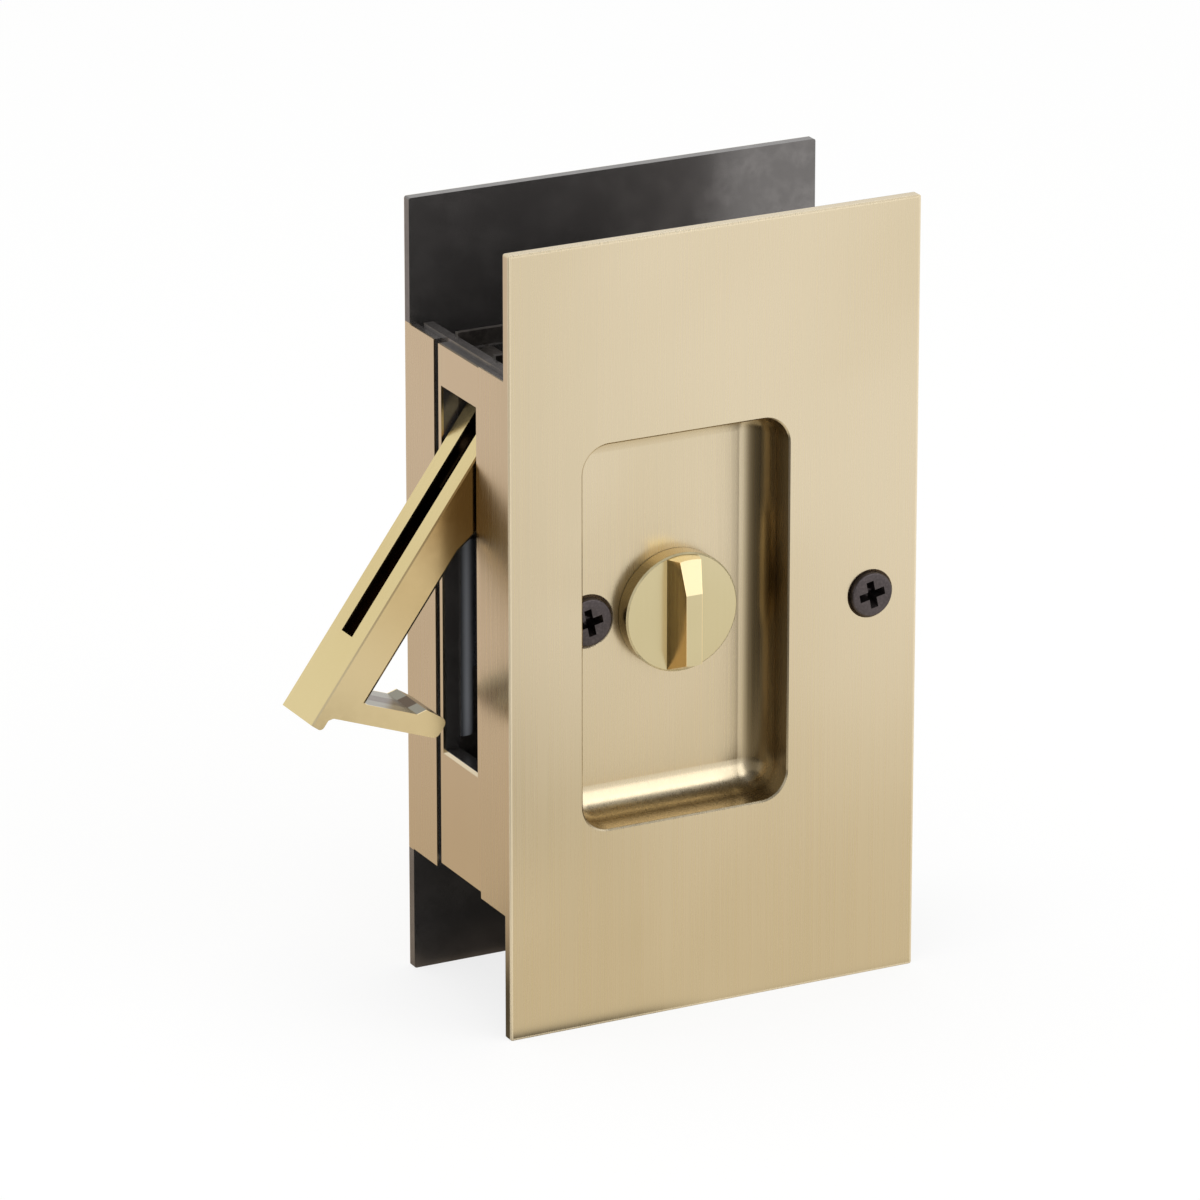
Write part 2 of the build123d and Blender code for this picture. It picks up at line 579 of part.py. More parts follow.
def drive_link():
    """Flat link with a round end on each crank pin."""
    length = SPINDLE_X - BOLT_PIVOT_X
    link = SlotCenterToCenter(length, LINK_W)
    for side in (-length / 2, length / 2):
        link -= Pos(side, 0) * Circle(CRANK_PIN_R + RUNNING_FIT)
    middle = (SPINDLE_X + BOLT_PIVOT_X) / 2 + CRANK_DX
    return slab(Pos(middle, CRANK_DZ) * link, LINK_FRONT_Y, LINK_REAR_Y)


def crank_pin_at(x):
    """Pin of a crank, flush with the faces of the crank and the link."""
    return rod(x + CRANK_DX, CRANK_DZ, CRANK_PIN_R, BOLT_FRONT_Y, LINK_REAR_Y)


def spindle_cam():
    """Hub with a square bore, a crank for the link and a square that the leaf bears on."""
    crank = Pos(CRANK_DX / 2, CRANK_DZ / 2) * Rot(0, 0, CRANK_REST_DEG) * Rectangle(CRANK_R, CRANK_ARM_W)
    crank += Circle(CAM_HUB_R) + Pos(CRANK_DX, CRANK_DZ) * Circle(CRANK_BOSS_R)
    crank -= Pos(CRANK_DX, CRANK_DZ) * Circle(CRANK_PIN_R + STATIC_FIT)
    cam = slab(Pos(SPINDLE_X, 0) * crank, BOLT_FRONT_Y, BOLT_REAR_Y)
    cam += rod(SPINDLE_X, 0, CAM_HUB_R, CAM_FRONT_Y, HUB_REAR_Y)
    square = Pos(SPINDLE_X, 0) * RectangleRounded(CAM_DETENT_W, CAM_DETENT_W, CAM_DETENT_R)
    cam += slab(square, CAM_FRONT_Y, BOLT_FRONT_Y - SIDE_PLAY)
    bore = Pos(SPINDLE_X, 0) * Rectangle(SPINDLE_SQUARE + 2 * STATIC_FIT, SPINDLE_SQUARE + 2 * STATIC_FIT)
    return cam - slab(bore, CAM_FRONT_Y, HUB_REAR_Y)


def detent_spring():
    """Leaf under the cam's square, bent down and fixed to the back wall of the case."""
    top_z = -max(CAM_DETENT_W / 2, CAM_HUB_R) - LEAF_CLEARANCE
    end_x = CASE_BACK_X - CASE_SHEET
    start_x = SPINDLE_X - LEAF_OVERHANG
    points = [
        (start_x, top_z),
        (end_x, top_z),
        (end_x, top_z - LEAF_TAB),
        (end_x - LEAF_T, top_z - LEAF_TAB),
        (end_x - LEAF_T, top_z - LEAF_T),
        (start_x, top_z - LEAF_T),
    ]
    outline = make_face(Polyline(*points, close=True))
    outline = corner_round(outline, end_x, top_z, LEAF_T)
    return slab(outline, CAM_FRONT_Y, CAM_FRONT_Y + LEAF_W)


def turn_hub(disc_back_y):
    """Hub of a turn through the cup's floor, with its clip groove, in front coordinates."""
    groove_r = TURN_HUB_R - CLIP_GROOVE
    groove_end = CLIP_FRONT_Y + CLIP_T
    profile = [(0, disc_back_y), (TURN_HUB_R, disc_back_y), (TURN_HUB_R, CLIP_FRONT_Y)]
    profile += [(groove_r, CLIP_FRONT_Y), (groove_r, groove_end), (TURN_HUB_R, groove_end)]
    profile += [(TURN_HUB_R, TURN_HUB_END_Y), (0, TURN_HUB_END_Y)]
    return turned(SPINDLE_X, 0, profile)


def spindle_socket():
    """Square socket cut in a turn's hub, in front coordinates."""
    side = SPINDLE_SQUARE + 2 * STATIC_FIT
    square = Pos(SPINDLE_X, 0) * Rectangle(side, side)
    return slab(square, TURN_HUB_END_Y - SPINDLE_SOCKET, TURN_HUB_END_Y)


def thumbturn():
    """Disc with a tapered bar across it, its ridge falling gently to one end and steeply to the other."""
    back_y = FLOOR_FACE_Y - TURN_FLOOR_GAP
    front_y = back_y - TURN_DISC_T
    turn = rod(SPINDLE_X, 0, TURN_D / 2, front_y, back_y)
    turn = chamfer(turn.faces().sort_by(Axis.Y)[0].edges(), TURN_EDGE_BREAK)
    half_base = TURN_BAR_BASE / 2
    half_top = TURN_BAR_TOP / 2
    top_y = front_y - TURN_BAR_H
    section = [
        (SPINDLE_X - half_base, front_y),
        (SPINDLE_X - half_top, top_y),
        (SPINDLE_X + half_top, top_y),
        (SPINDLE_X + half_base, front_y),
    ]
    end_z = TURN_D / 2
    bar = extrude(Plane.XY.offset(-end_z) * make_face(Polyline(*section, close=True)), amount=TURN_D)
    side = [
        (0, front_y, -end_z),
        (0, front_y - TURN_BAR_TAIL_H, -end_z),
        (0, top_y, TURN_BAR_FACET_Z),
        (0, front_y - TURN_BAR_END_H, end_z),
        (0, front_y, end_z),
    ]
    bar &= extrude(make_face(Polyline(*side, close=True)), amount=2 * PLATE_W, dir=(1, 0, 0))
    bar &= rod(SPINDLE_X, 0, TURN_D / 2 - TURN_EDGE_BREAK, top_y, front_y)
    turn += bar
    turn += turn_hub(back_y)
    return turn - spindle_socket()


def turn_clip():
    """Open retaining ring in the groove of a turn's hub, in front coordinates."""
    ring = Circle(CLIP_R) - Circle(TURN_HUB_R - CLIP_GROOVE + STATIC_FIT)
    ring -= Pos(0, -CLIP_R / 2) * Rectangle(CLIP_MOUTH, CLIP_R)
    return slab(Pos(SPINDLE_X, 0) * ring, CLIP_FRONT_Y + STATIC_FIT, CLIP_FRONT_Y + CLIP_T - STATIC_FIT)


def emergency_turn():
    """Low button with a coin slot, in the rear cup."""
    back_y = FLOOR_FACE_Y - TURN_FLOOR_GAP
    front_y = back_y - EMERGENCY_T
    turn = rod(SPINDLE_X, 0, EMERGENCY_D / 2, front_y, back_y)
    turn = chamfer(turn.faces().sort_by(Axis.Y)[0].edges(), EMERGENCY_BREAK)
    slot = SlotOverall(COIN_SLOT_L, COIN_SLOT_W, rotation=90)
    turn -= slab(Pos(SPINDLE_X, 0) * slot, front_y, front_y + COIN_SLOT_DEPTH)
    turn += turn_hub(back_y)
    return to_rear(turn - spindle_socket())


def spindle():
    """Square bar between the two turns."""
    end_y = TURN_HUB_END_Y - SPINDLE_SOCKET + STATIC_FIT
    square = Pos(SPINDLE_X, 0) * Rectangle(SPINDLE_SQUARE, SPINDLE_SQUARE)
    return slab(square, end_y, -end_y)


def bush():
    """Bearing sleeve in the floor of the front cup."""
    ring = Circle(BUSH_R) - Circle(TURN_HUB_R + RUNNING_FIT)
    return slab(Pos(SPINDLE_X, 0) * ring, FLOOR_FACE_Y, FLOOR_BACK_Y)


def cross_head_screw(x, face_y, head_r, length):
    """Flat-head screw with a cross recess, its head a little below the face."""
    top_y = face_y + SCREW_SUNK
    cone_y = top_y + SCREW_HEAD_CONE
    end_y = top_y + length
    tip = SCREW_R / 2
    profile = [(0, top_y), (head_r, top_y), (SCREW_R, cone_y)]
    profile += [(SCREW_R, end_y - tip), (tip, end_y), (0, end_y)]
    screw = turned(x, 0, profile)
    for turn in (CROSS_TURN_DEG, CROSS_TURN_DEG + 90):
        arm = Pos(x, 0) * Rot(0, 0, turn) * Rectangle(CROSS_SPAN, CROSS_W)
        screw -= extrude(Plane.XZ.offset(-top_y) * arm, amount=-CROSS_DEPTH, taper=CROSS_TAPER_DEG)
    return screw


def edge_screw():
    """Screw in the floor of the front cup."""
    return cross_head_screw(EDGE_SCREW_X, FLOOR_FACE_Y, EDGE_HEAD_R, CUP_FLOOR_T + SCREW_GRIP)


def back_screw():
    """Screw near the back edge of the front plate."""
    return cross_head_screw(BACK_SCREW_X, FRONT_FACE_Y, BACK_HEAD_R, PLATE_T + SCREW_GRIP)


def post(x, start_y, seat_y, radius, shoulder_r, shoulder_y):
    """Threaded post staked in the rear plate, with a bore for its screw."""
    bore_end = start_y + SCREW_GRIP + PLATE_T
    bore_r = SCREW_R + STATIC_FIT
    profile = [(bore_r, start_y + POST_MOUTH), (bore_r + POST_MOUTH, start_y), (radius, start_y)]
    profile += [(radius, shoulder_y), (shoulder_r, shoulder_y)]
    profile += [(shoulder_r, seat_y), (POST_SPIGOT_R, seat_y), (POST_SPIGOT_R, seat_y + POST_SPIGOT_L)]
    profile += [(0, seat_y + POST_SPIGOT_L), (0, bore_end), (bore_r, bore_end)]
    return turned(x, 0, profile)


def edge_post():
    """Post through the case, whose shoulder clamps the case to the front cup."""
    start_y = CASE_FRONT_Y + STATIC_FIT
    return post(EDGE_SCREW_X, start_y, -FLOOR_BACK_Y, EDGE_POST_R, EDGE_SHOULDER_R, CASE_REAR_Y)


def back_post():
    """Post between the plates, behind the case, located in a shallow recess at each end."""
    seat_y = -FRONT_SEAT_Y + POST_RECESS
    collar_y = seat_y - POST_COLLAR_T
    return post(BACK_SCREW_X, -seat_y, seat_y, BACK_POST_R, EDGE_SHOULDER_R, collar_y)


NODES = {
    "front_plate": front_plate,
    "rear_plate": rear_plate,
    "edge_faceplate": edge_faceplate,
    "lock_case": lock_case,
    "case_cover": case_cover,
    "case_screws": case_screws,
    "edge_pull": edge_pull,
    "pull_pivot_pin": pull_pivot_pin,
    "pull_spring": pull_spring,
    "pocket_liner": pocket_liner,
    "pull_catch": pull_catch,
    "hook_bolt": hook_bolt,
    "bolt_pivot_pin": bolt_pivot_pin,
    "bolt_link_pin": lambda: crank_pin_at(BOLT_PIVOT_X),
    "drive_link": drive_link,
    "spindle_cam": spindle_cam,
    "crank_pin": lambda: crank_pin_at(SPINDLE_X),
    "detent_spring": detent_spring,
    "spindle": spindle,
    "thumbturn": thumbturn,
    "thumbturn_clip": turn_clip,
    "emergency_turn": emergency_turn,
    "emergency_clip": lambda: to_rear(turn_clip()),
    "front_bush": bush,
    "rear_bush": lambda: to_rear(bush()),
    "edge_screw": edge_screw,
    "back_screw": back_screw,
    "edge_post": edge_post,
    "back_post": back_post,
}

os.makedirs("parts", exist_ok=True)
for name, make in NODES.items():
    export_step(make(), os.path.join("parts", name + ".step"))
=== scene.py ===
"""Looks of the pocket door lock: finishes, finer screws, spring and thumbturn, studio and camera.

Places are in metres of the frame: X runs in from the door edge, Y from the front to the back, Z up.
"""

import json
import logging
import math
from dataclasses import dataclass, field
from enum import Enum
from functools import reduce
from typing import Any, Callable, Optional

import bpy
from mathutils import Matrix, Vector

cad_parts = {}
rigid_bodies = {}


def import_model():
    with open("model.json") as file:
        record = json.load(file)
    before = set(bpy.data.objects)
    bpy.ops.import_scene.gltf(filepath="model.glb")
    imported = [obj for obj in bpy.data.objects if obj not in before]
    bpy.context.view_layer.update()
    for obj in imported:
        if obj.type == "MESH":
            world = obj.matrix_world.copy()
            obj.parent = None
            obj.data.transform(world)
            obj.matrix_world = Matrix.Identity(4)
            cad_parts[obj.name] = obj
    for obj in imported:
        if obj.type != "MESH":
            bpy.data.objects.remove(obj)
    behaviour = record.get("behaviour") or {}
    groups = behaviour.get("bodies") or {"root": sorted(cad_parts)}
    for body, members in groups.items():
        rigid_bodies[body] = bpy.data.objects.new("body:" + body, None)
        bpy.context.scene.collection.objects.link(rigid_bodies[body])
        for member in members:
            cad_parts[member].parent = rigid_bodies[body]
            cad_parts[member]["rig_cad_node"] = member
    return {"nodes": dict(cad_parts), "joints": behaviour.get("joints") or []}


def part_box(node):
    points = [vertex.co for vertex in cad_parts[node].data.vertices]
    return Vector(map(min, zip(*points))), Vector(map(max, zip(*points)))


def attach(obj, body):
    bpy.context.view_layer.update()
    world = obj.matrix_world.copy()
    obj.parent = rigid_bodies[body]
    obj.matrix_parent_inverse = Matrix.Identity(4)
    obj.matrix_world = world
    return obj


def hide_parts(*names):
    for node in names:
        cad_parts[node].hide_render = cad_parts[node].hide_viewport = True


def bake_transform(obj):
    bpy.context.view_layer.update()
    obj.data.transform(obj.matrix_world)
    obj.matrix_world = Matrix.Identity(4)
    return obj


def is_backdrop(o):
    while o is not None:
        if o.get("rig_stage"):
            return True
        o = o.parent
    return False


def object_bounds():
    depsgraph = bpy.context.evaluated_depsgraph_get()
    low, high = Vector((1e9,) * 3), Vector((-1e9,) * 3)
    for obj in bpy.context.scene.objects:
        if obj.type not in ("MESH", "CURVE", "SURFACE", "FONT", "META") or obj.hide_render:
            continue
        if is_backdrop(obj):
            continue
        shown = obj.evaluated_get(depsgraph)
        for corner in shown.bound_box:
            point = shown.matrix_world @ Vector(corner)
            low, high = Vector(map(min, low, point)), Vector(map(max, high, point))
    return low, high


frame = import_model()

LOG = logging.getLogger("pocket_door_lock")
MM = 0.001
MICRON = 1e-6
FULL_TURN_DEG = 360.0

Colour = tuple[float, float, float]
Triple = tuple[float, float, float]
Pair = tuple[float, float]
Socket = bpy.types.NodeSocket
Value = float | Socket
Tone = Colour | Socket

WHITE: Colour = (1.0, 1.0, 1.0)

# Places that finishes and pieces share, from the frame where it holds them
JOINTS: dict[str, dict] = {joint["name"]: joint for joint in frame["joints"]}
PULL_PIVOT: Triple = tuple(JOINTS["pull_swing"]["pos_m"])
PULL_OPEN_DEG: float = -JOINTS["pull_swing"]["range_deg"][0]
SPINDLE_X: float = JOINTS["thumb_turn"]["pos_m"][0]
PLATE_LOW, PLATE_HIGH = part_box("front_plate")
PLATE_X: float = (PLATE_LOW.x + PLATE_HIGH.x) / 2
PLATE_HALF_W: float = (PLATE_HIGH.x - PLATE_LOW.x) / 2
TURN_FACE_Y: float = -13.5 * MM
BAR_TAPER: float = 0.318


class Slot(Enum):
    """Material slots of the record, with its satin brass split into the looks of plates and land."""

    PLATE_BRASS = "satin_brass_plate"
    LAND_BRASS = "satin_brass_land"
    PULL_BRASS = "pull_brass"
    TURN_BRASS = "turn_brass"
    DARK_BRONZE = "dark_bronze"
    CASE_STEEL = "case_steel"
    LINER_BLACK = "liner_black"
    BOLT_STEEL = "bolt_steel"
    SPRING_STEEL = "spring_steel"
    NYLON = "nylon"


class Body(Enum):
    """Moving bodies of the part."""

    LOCK = "lock_body"
    PULL = "pull"
    TURN = "turn"


class MixMode(Enum):
    """How two colours are put together."""

    MIX = "MIX"
    MULTIPLY = "MULTIPLY"


class Element(Enum):
    """What is picked on a mesh in edit mode."""

    POINT = "VERT"
    EDGE = "EDGE"
    FACE = "FACE"


class NodeSheet:
    """Adds and links nodes in one node tree."""

    MIX_COLOURS = slice(6, 8)
    MIX_RESULT = 2

    def __init__(self, tree: bpy.types.NodeTree) -> None:
        """Take the tree that the nodes go into."""
        self.tree = tree

    @classmethod
    def fresh(cls, holder: Any) -> "NodeSheet":
        """Give a material or world an empty node tree."""
        holder.use_nodes = True
        holder.node_tree.nodes.clear()
        return cls(holder.node_tree)

    def feed(self, socket: Socket, value: Any) -> None:
        """Link a socket to an input, or set the input to a plain value."""
        if isinstance(value, bpy.types.NodeSocket):
            self.tree.links.new(value, socket)
        else:
            socket.default_value = value

    def add(self, kind: str, inputs: Optional[dict] = None, **settings: Any) -> bpy.types.Node:
        """Add a node.

        Args:
            kind: Node type, such as ShaderNodeBump.
            inputs: Values or sockets, by the input's name or index.
            settings: Properties of the node.

        Returns:
            The new node.
        """
        node = self.tree.nodes.new(kind)
        for name, value in settings.items():
            setattr(node, name, value)
        for key, value in (inputs or {}).items():
            self.feed(node.inputs[key], value)
        return node

    def math(self, operation: str, *values: Value) -> Socket:
        """Combine values with one Math node.

        Args:
            operation: Name of the operation.
            values: Numbers or sockets.

        Returns:
            The result's socket.
        """
        node = self.add("ShaderNodeMath", operation=operation)
        for socket, value in zip(node.inputs, values):
            self.feed(socket, value)
        return node.outputs[0]

    def below(self, value: Socket, limit: float) -> Socket:
        """Mask that is 1 where a value is under a limit."""
        return self.math("LESS_THAN", value, limit)

    def above(self, value: Socket, limit: float) -> Socket:
        """Mask that is 1 where a value is over a limit."""
        return self.math("GREATER_THAN", value, limit)

    def both(self, *masks: Socket) -> Socket:
        """Mask that is 1 where all of these are."""
        return reduce(lambda one, other: self.math("MULTIPLY", one, other), masks)

    def either(self, *masks: Socket) -> Socket:
        """Mask that is 1 where any of these is."""
        return reduce(lambda one, other: self.math("MAXIMUM", one, other), masks)

    def gap(self, value: Socket, centre: float) -> Socket:
        """Distance of a value from a centre, on either side of it."""
        return self.math("ABSOLUTE", self.math("SUBTRACT", value, centre))

    def weigh(self, first: Socket, second: Socket, share: float) -> Socket:
        """Sum of two values, with a share of the second and the rest of the first."""
        return self.math("MULTIPLY_ADD", second, share, self.math("MULTIPLY", first, 1.0 - share))

    def spread(
        self, value: Socket, low: float, high: float, to_low: Value = 0.0, to_high: Value = 1.0
    ) -> Socket:
        """Map a value smoothly from one range to another.

        Args:
            value: Socket to map.
            low: Start of the range that is read.
            high: End of the range that is read.
            to_low: Result at the start.
            to_high: Result at the end.

        Returns:
            The mapped socket.
        """
        node = self.add("ShaderNodeMapRange", interpolation_type="SMOOTHSTEP")
        for socket, number in zip(node.inputs, (value, low, high, to_low, to_high)):
            self.feed(socket, number)
        return node.outputs[0]

    def between(self, share: Socket, low: Value, high: Value) -> Socket:
        """Value that runs from low to high as a share goes from 0 to 1."""
        return self.spread(share, 0.0, 1.0, low, high)

    def blend(self, factor: Value, first: Tone, second: Tone, mode: MixMode = MixMode.MIX) -> Socket:
        """Mix two colours.

        Args:
            factor: Share of the second colour.
            first: Colour or socket.
            second: Colour or socket.
            mode: Blend type.

        Returns:
            The mixed colour's socket.
        """
        node = self.add("ShaderNodeMix", data_type="RGBA", blend_type=mode.value)
        self.feed(node.inputs["Factor"], factor)
        for socket, colour in zip(node.inputs[self.MIX_COLOURS], (first, second)):
            self.feed(socket, colour if isinstance(colour, bpy.types.NodeSocket) else (*colour, 1.0))
        return node.outputs[self.MIX_RESULT]

    def place(self) -> Socket:
        """Object coordinates, in metres of the part's own frame."""
        return self.add("ShaderNodeTexCoord").outputs["Object"]

    def axes(self, place: Optional[Socket] = None) -> dict[str, Socket]:
        """Split a place, or else the object coordinates, into X, Y and Z."""
        whole = self.place() if place is None else place
        return dict(zip("XYZ", self.add("ShaderNodeSeparateXYZ", {"Vector": whole}).outputs))

    def effect(self, group: bpy.types.NodeTree, **inputs: Any) -> bpy.types.bpy_prop_collection:
        """Place a shared effect on the object coordinates and return its outputs."""
        return self.add("ShaderNodeGroup", {"Place": self.place(), **inputs}, node_tree=group).outputs


class EffectLibrary:
    """Surface effects that several finishes share, each built once as a node group."""

    BROAD_SHARE = 0.55
    STREAK_RANGE = (0.32, 0.68)
    PATCH_RANGE = (0.33, 0.67)
    FLECK_RANGE = (0.4, 0.7)

    def __init__(self) -> None:
        """Build the groups."""
        self.grain = self._group("drawn_grain", {"Stretch": "Vector"}, ("Streak", "Height"), self._grain)
        self.drift = self._group("slow_drift", {"Scale": "Float"}, ("Patch",), self._drift)
        self.fleck = self._group("fine_fleck", {"Scale": "Float"}, ("Fleck", "Height"), self._fleck)

    def _group(
        self,
        name: str,
        inputs: dict[str, str],
        outputs: tuple[str, ...],
        fill: Callable[[NodeSheet, bpy.types.Node, bpy.types.Node], None],
    ) -> bpy.types.NodeTree:
        """Make a node group that reads a place on the surface.

        Args:
            name: Name of the group.
            inputs: Further inputs, with their kinds.
            outputs: Names of the values that it puts out.
            fill: Method that adds the nodes.

        Returns:
            The group.
        """
        tree = bpy.data.node_groups.new(name, "ShaderNodeTree")
        for label, kind in {"Place": "Vector", **inputs}.items():
            tree.interface.new_socket(label, in_out="INPUT", socket_type="NodeSocket" + kind)
        for label in outputs:
            tree.interface.new_socket(label, in_out="OUTPUT", socket_type="NodeSocketFloat")
        sheet = NodeSheet(tree)
        fill(sheet, sheet.add("NodeGroupInput"), sheet.add("NodeGroupOutput"))
        return tree

    def _grain(self, sheet: NodeSheet, given: bpy.types.Node, out: bpy.types.Node) -> None:
        """Lines drawn out along one axis, in a broad and a fine size."""
        stretched = sheet.add("ShaderNodeVectorMath", operation="MULTIPLY")
        sheet.feed(stretched.inputs[0], given.outputs["Place"])
        sheet.feed(stretched.inputs[1], given.outputs["Stretch"])
        broad = sheet.add("ShaderNodeTexNoise", {"Scale": 0.22, "Detail": 3.0, "Roughness": 0.6})
        fine = sheet.add("ShaderNodeTexNoise", {"Scale": 1.0, "Detail": 4.0, "Roughness": 0.65})
        for noise in (broad, fine):
            sheet.feed(noise.inputs["Vector"], stretched.outputs[0])
        streak = sheet.weigh(fine.outputs[0], broad.outputs[0], self.BROAD_SHARE)
        sheet.feed(out.inputs["Streak"], sheet.spread(streak, *self.STREAK_RANGE))
        sheet.feed(out.inputs["Height"], fine.outputs[0])

    def _drift(self, sheet: NodeSheet, given: bpy.types.Node, out: bpy.types.Node) -> None:
        """Soft patches that change slowly over the piece."""
        noise = sheet.add("ShaderNodeTexNoise", {"Detail": 2.0, "Roughness": 0.5, "Distortion": 0.4})
        sheet.feed(noise.inputs["Vector"], given.outputs["Place"])
        sheet.feed(noise.inputs["Scale"], given.outputs["Scale"])
        sheet.feed(out.inputs["Patch"], sheet.spread(noise.outputs[0], *self.PATCH_RANGE))

    def _fleck(self, sheet: NodeSheet, given: bpy.types.Node, out: bpy.types.Node) -> None:
        """Small specks and grains of a blackened or moulded skin."""
        noise = sheet.add("ShaderNodeTexNoise", {"Detail": 5.0, "Roughness": 0.7})
        cells = sheet.add("ShaderNodeTexVoronoi")
        for texture in (noise, cells):
            sheet.feed(texture.inputs["Vector"], given.outputs["Place"])
            sheet.feed(texture.inputs["Scale"], given.outputs["Scale"])
        sheet.feed(out.inputs["Fleck"], sheet.spread(noise.outputs[0], *self.FLECK_RANGE))
        sheet.feed(out.inputs["Height"], sheet.math("ADD", noise.outputs[0], cells.outputs["Distance"]))


@dataclass(frozen=True)
class Surface:
    """What a finish hands to its shader."""

    colour: Socket
    roughness: Socket
    height: Socket
    metallic: Value


@dataclass(frozen=True, kw_only=True)
class Finish:
    """A surface with a light and a deep tone, a roughness range and a fine relief."""

    slot: Slot
    light: Colour
    deep: Colour
    roughness: float
    roughness_range: float
    relief: float
    metallic: float = 1.0
    coat: float = 0.0

    def rough(self, sheet: NodeSheet, share: Socket) -> Socket:
        """Roughness from the smooth end of the range to its rough end."""
        return sheet.between(share, self.roughness, self.roughness + self.roughness_range)

    def surface(self, sheet: NodeSheet, effects: EffectLibrary) -> Surface:
        """Nodes for the colour, the roughness and the relief.

        Args:
            sheet: Node tree of the material.
            effects: Shared effects.

        Returns:
            The sockets.
        """
        raise NotImplementedError

    def material(self, effects: EffectLibrary) -> bpy.types.Material:
        """Make the material.

        Args:
            effects: Shared effects.

        Returns:
            The new material.
        """
        material = bpy.data.materials.new(self.slot.value)
        sheet = NodeSheet.fresh(material)
        surface = self.surface(sheet, effects)
        bump = sheet.add("ShaderNodeBump", {"Distance": self.relief, "Height": surface.height})
        shader = sheet.add(
            "ShaderNodeBsdfPrincipled",
            {
                "Base Color": surface.colour,
                "Roughness": surface.roughness,
                "Normal": bump.outputs[0],
                "Metallic": surface.metallic,
                "Coat Weight": self.coat,
            },
        )
        sheet.add("ShaderNodeOutputMaterial", {"Surface": shader.outputs[0]})
        return material


@dataclass(frozen=True, kw_only=True)
class DrawnMetal(Finish):
    """Metal brushed along one axis, its tone drifting slowly."""

    grain: Triple = (4000.0, 4000.0, 40.0)
    streak: float = 0.25
    drift: float = 18.0

    def surface(self, sheet: NodeSheet, effects: EffectLibrary) -> Surface:
        """Nodes for the brushed colour, roughness and relief.

        Args:
            sheet: Node tree of the material.
            effects: Shared effects.

        Returns:
            The sockets.
        """
        grain = sheet.effect(effects.grain, Stretch=self.grain)
        drift = sheet.effect(effects.drift, Scale=self.drift)
        share = sheet.weigh(drift["Patch"], grain["Streak"], self.streak)
        colour = sheet.blend(share, self.deep, self.light)
        return Surface(colour, self.rough(sheet, grain["Streak"]), grain["Height"], self.metallic)


@dataclass(frozen=True, kw_only=True)
class PlatedMetal(DrawnMetal):
    """Satin brass on the faces that show, black plating on those turned into the door."""

    light: Colour = (0.755, 0.645, 0.455)
    deep: Colour = (0.7, 0.59, 0.4)
    grain: Triple = (5200.0, 5200.0, 30.0)
    plating: Colour = (0.17, 0.16, 0.155)
    plating_worn: Colour = (0.221, 0.208, 0.2015)
    plating_fleck: float = 160.0
    plating_roughness: float = 0.22
    plating_metallic: float = 0.8

    def shown(self, sheet: NodeSheet) -> Socket:
        """Mask of the brass faces.

        Args:
            sheet: Node tree of the material.

        Returns:
            Socket that is 1 on brass and 0 on plating.
        """
        raise NotImplementedError

    def brass(self, sheet: NodeSheet, effects: EffectLibrary) -> Surface:
        """Nodes for the brass alone."""
        return super().surface(sheet, effects)

    def surface(self, sheet: NodeSheet, effects: EffectLibrary) -> Surface:
        """Nodes for the brass and its plated side.

        Args:
            sheet: Node tree of the material.
            effects: Shared effects.

        Returns:
            The sockets.
        """
        brass = self.brass(sheet, effects)
        mask = self.shown(sheet)
        fleck = sheet.effect(effects.fleck, Scale=self.plating_fleck)
        worn = sheet.blend(fleck["Fleck"], self.plating, self.plating_worn)
        colour = sheet.blend(mask, worn, brass.colour)
        rougher = sheet.math("SUBTRACT", brass.roughness, self.plating_roughness)
        rough = sheet.math("MULTIPLY_ADD", rougher, mask, self.plating_roughness)
        metallic = sheet.between(mask, self.plating_metallic, brass.metallic)
        return Surface(colour, rough, brass.height, metallic)


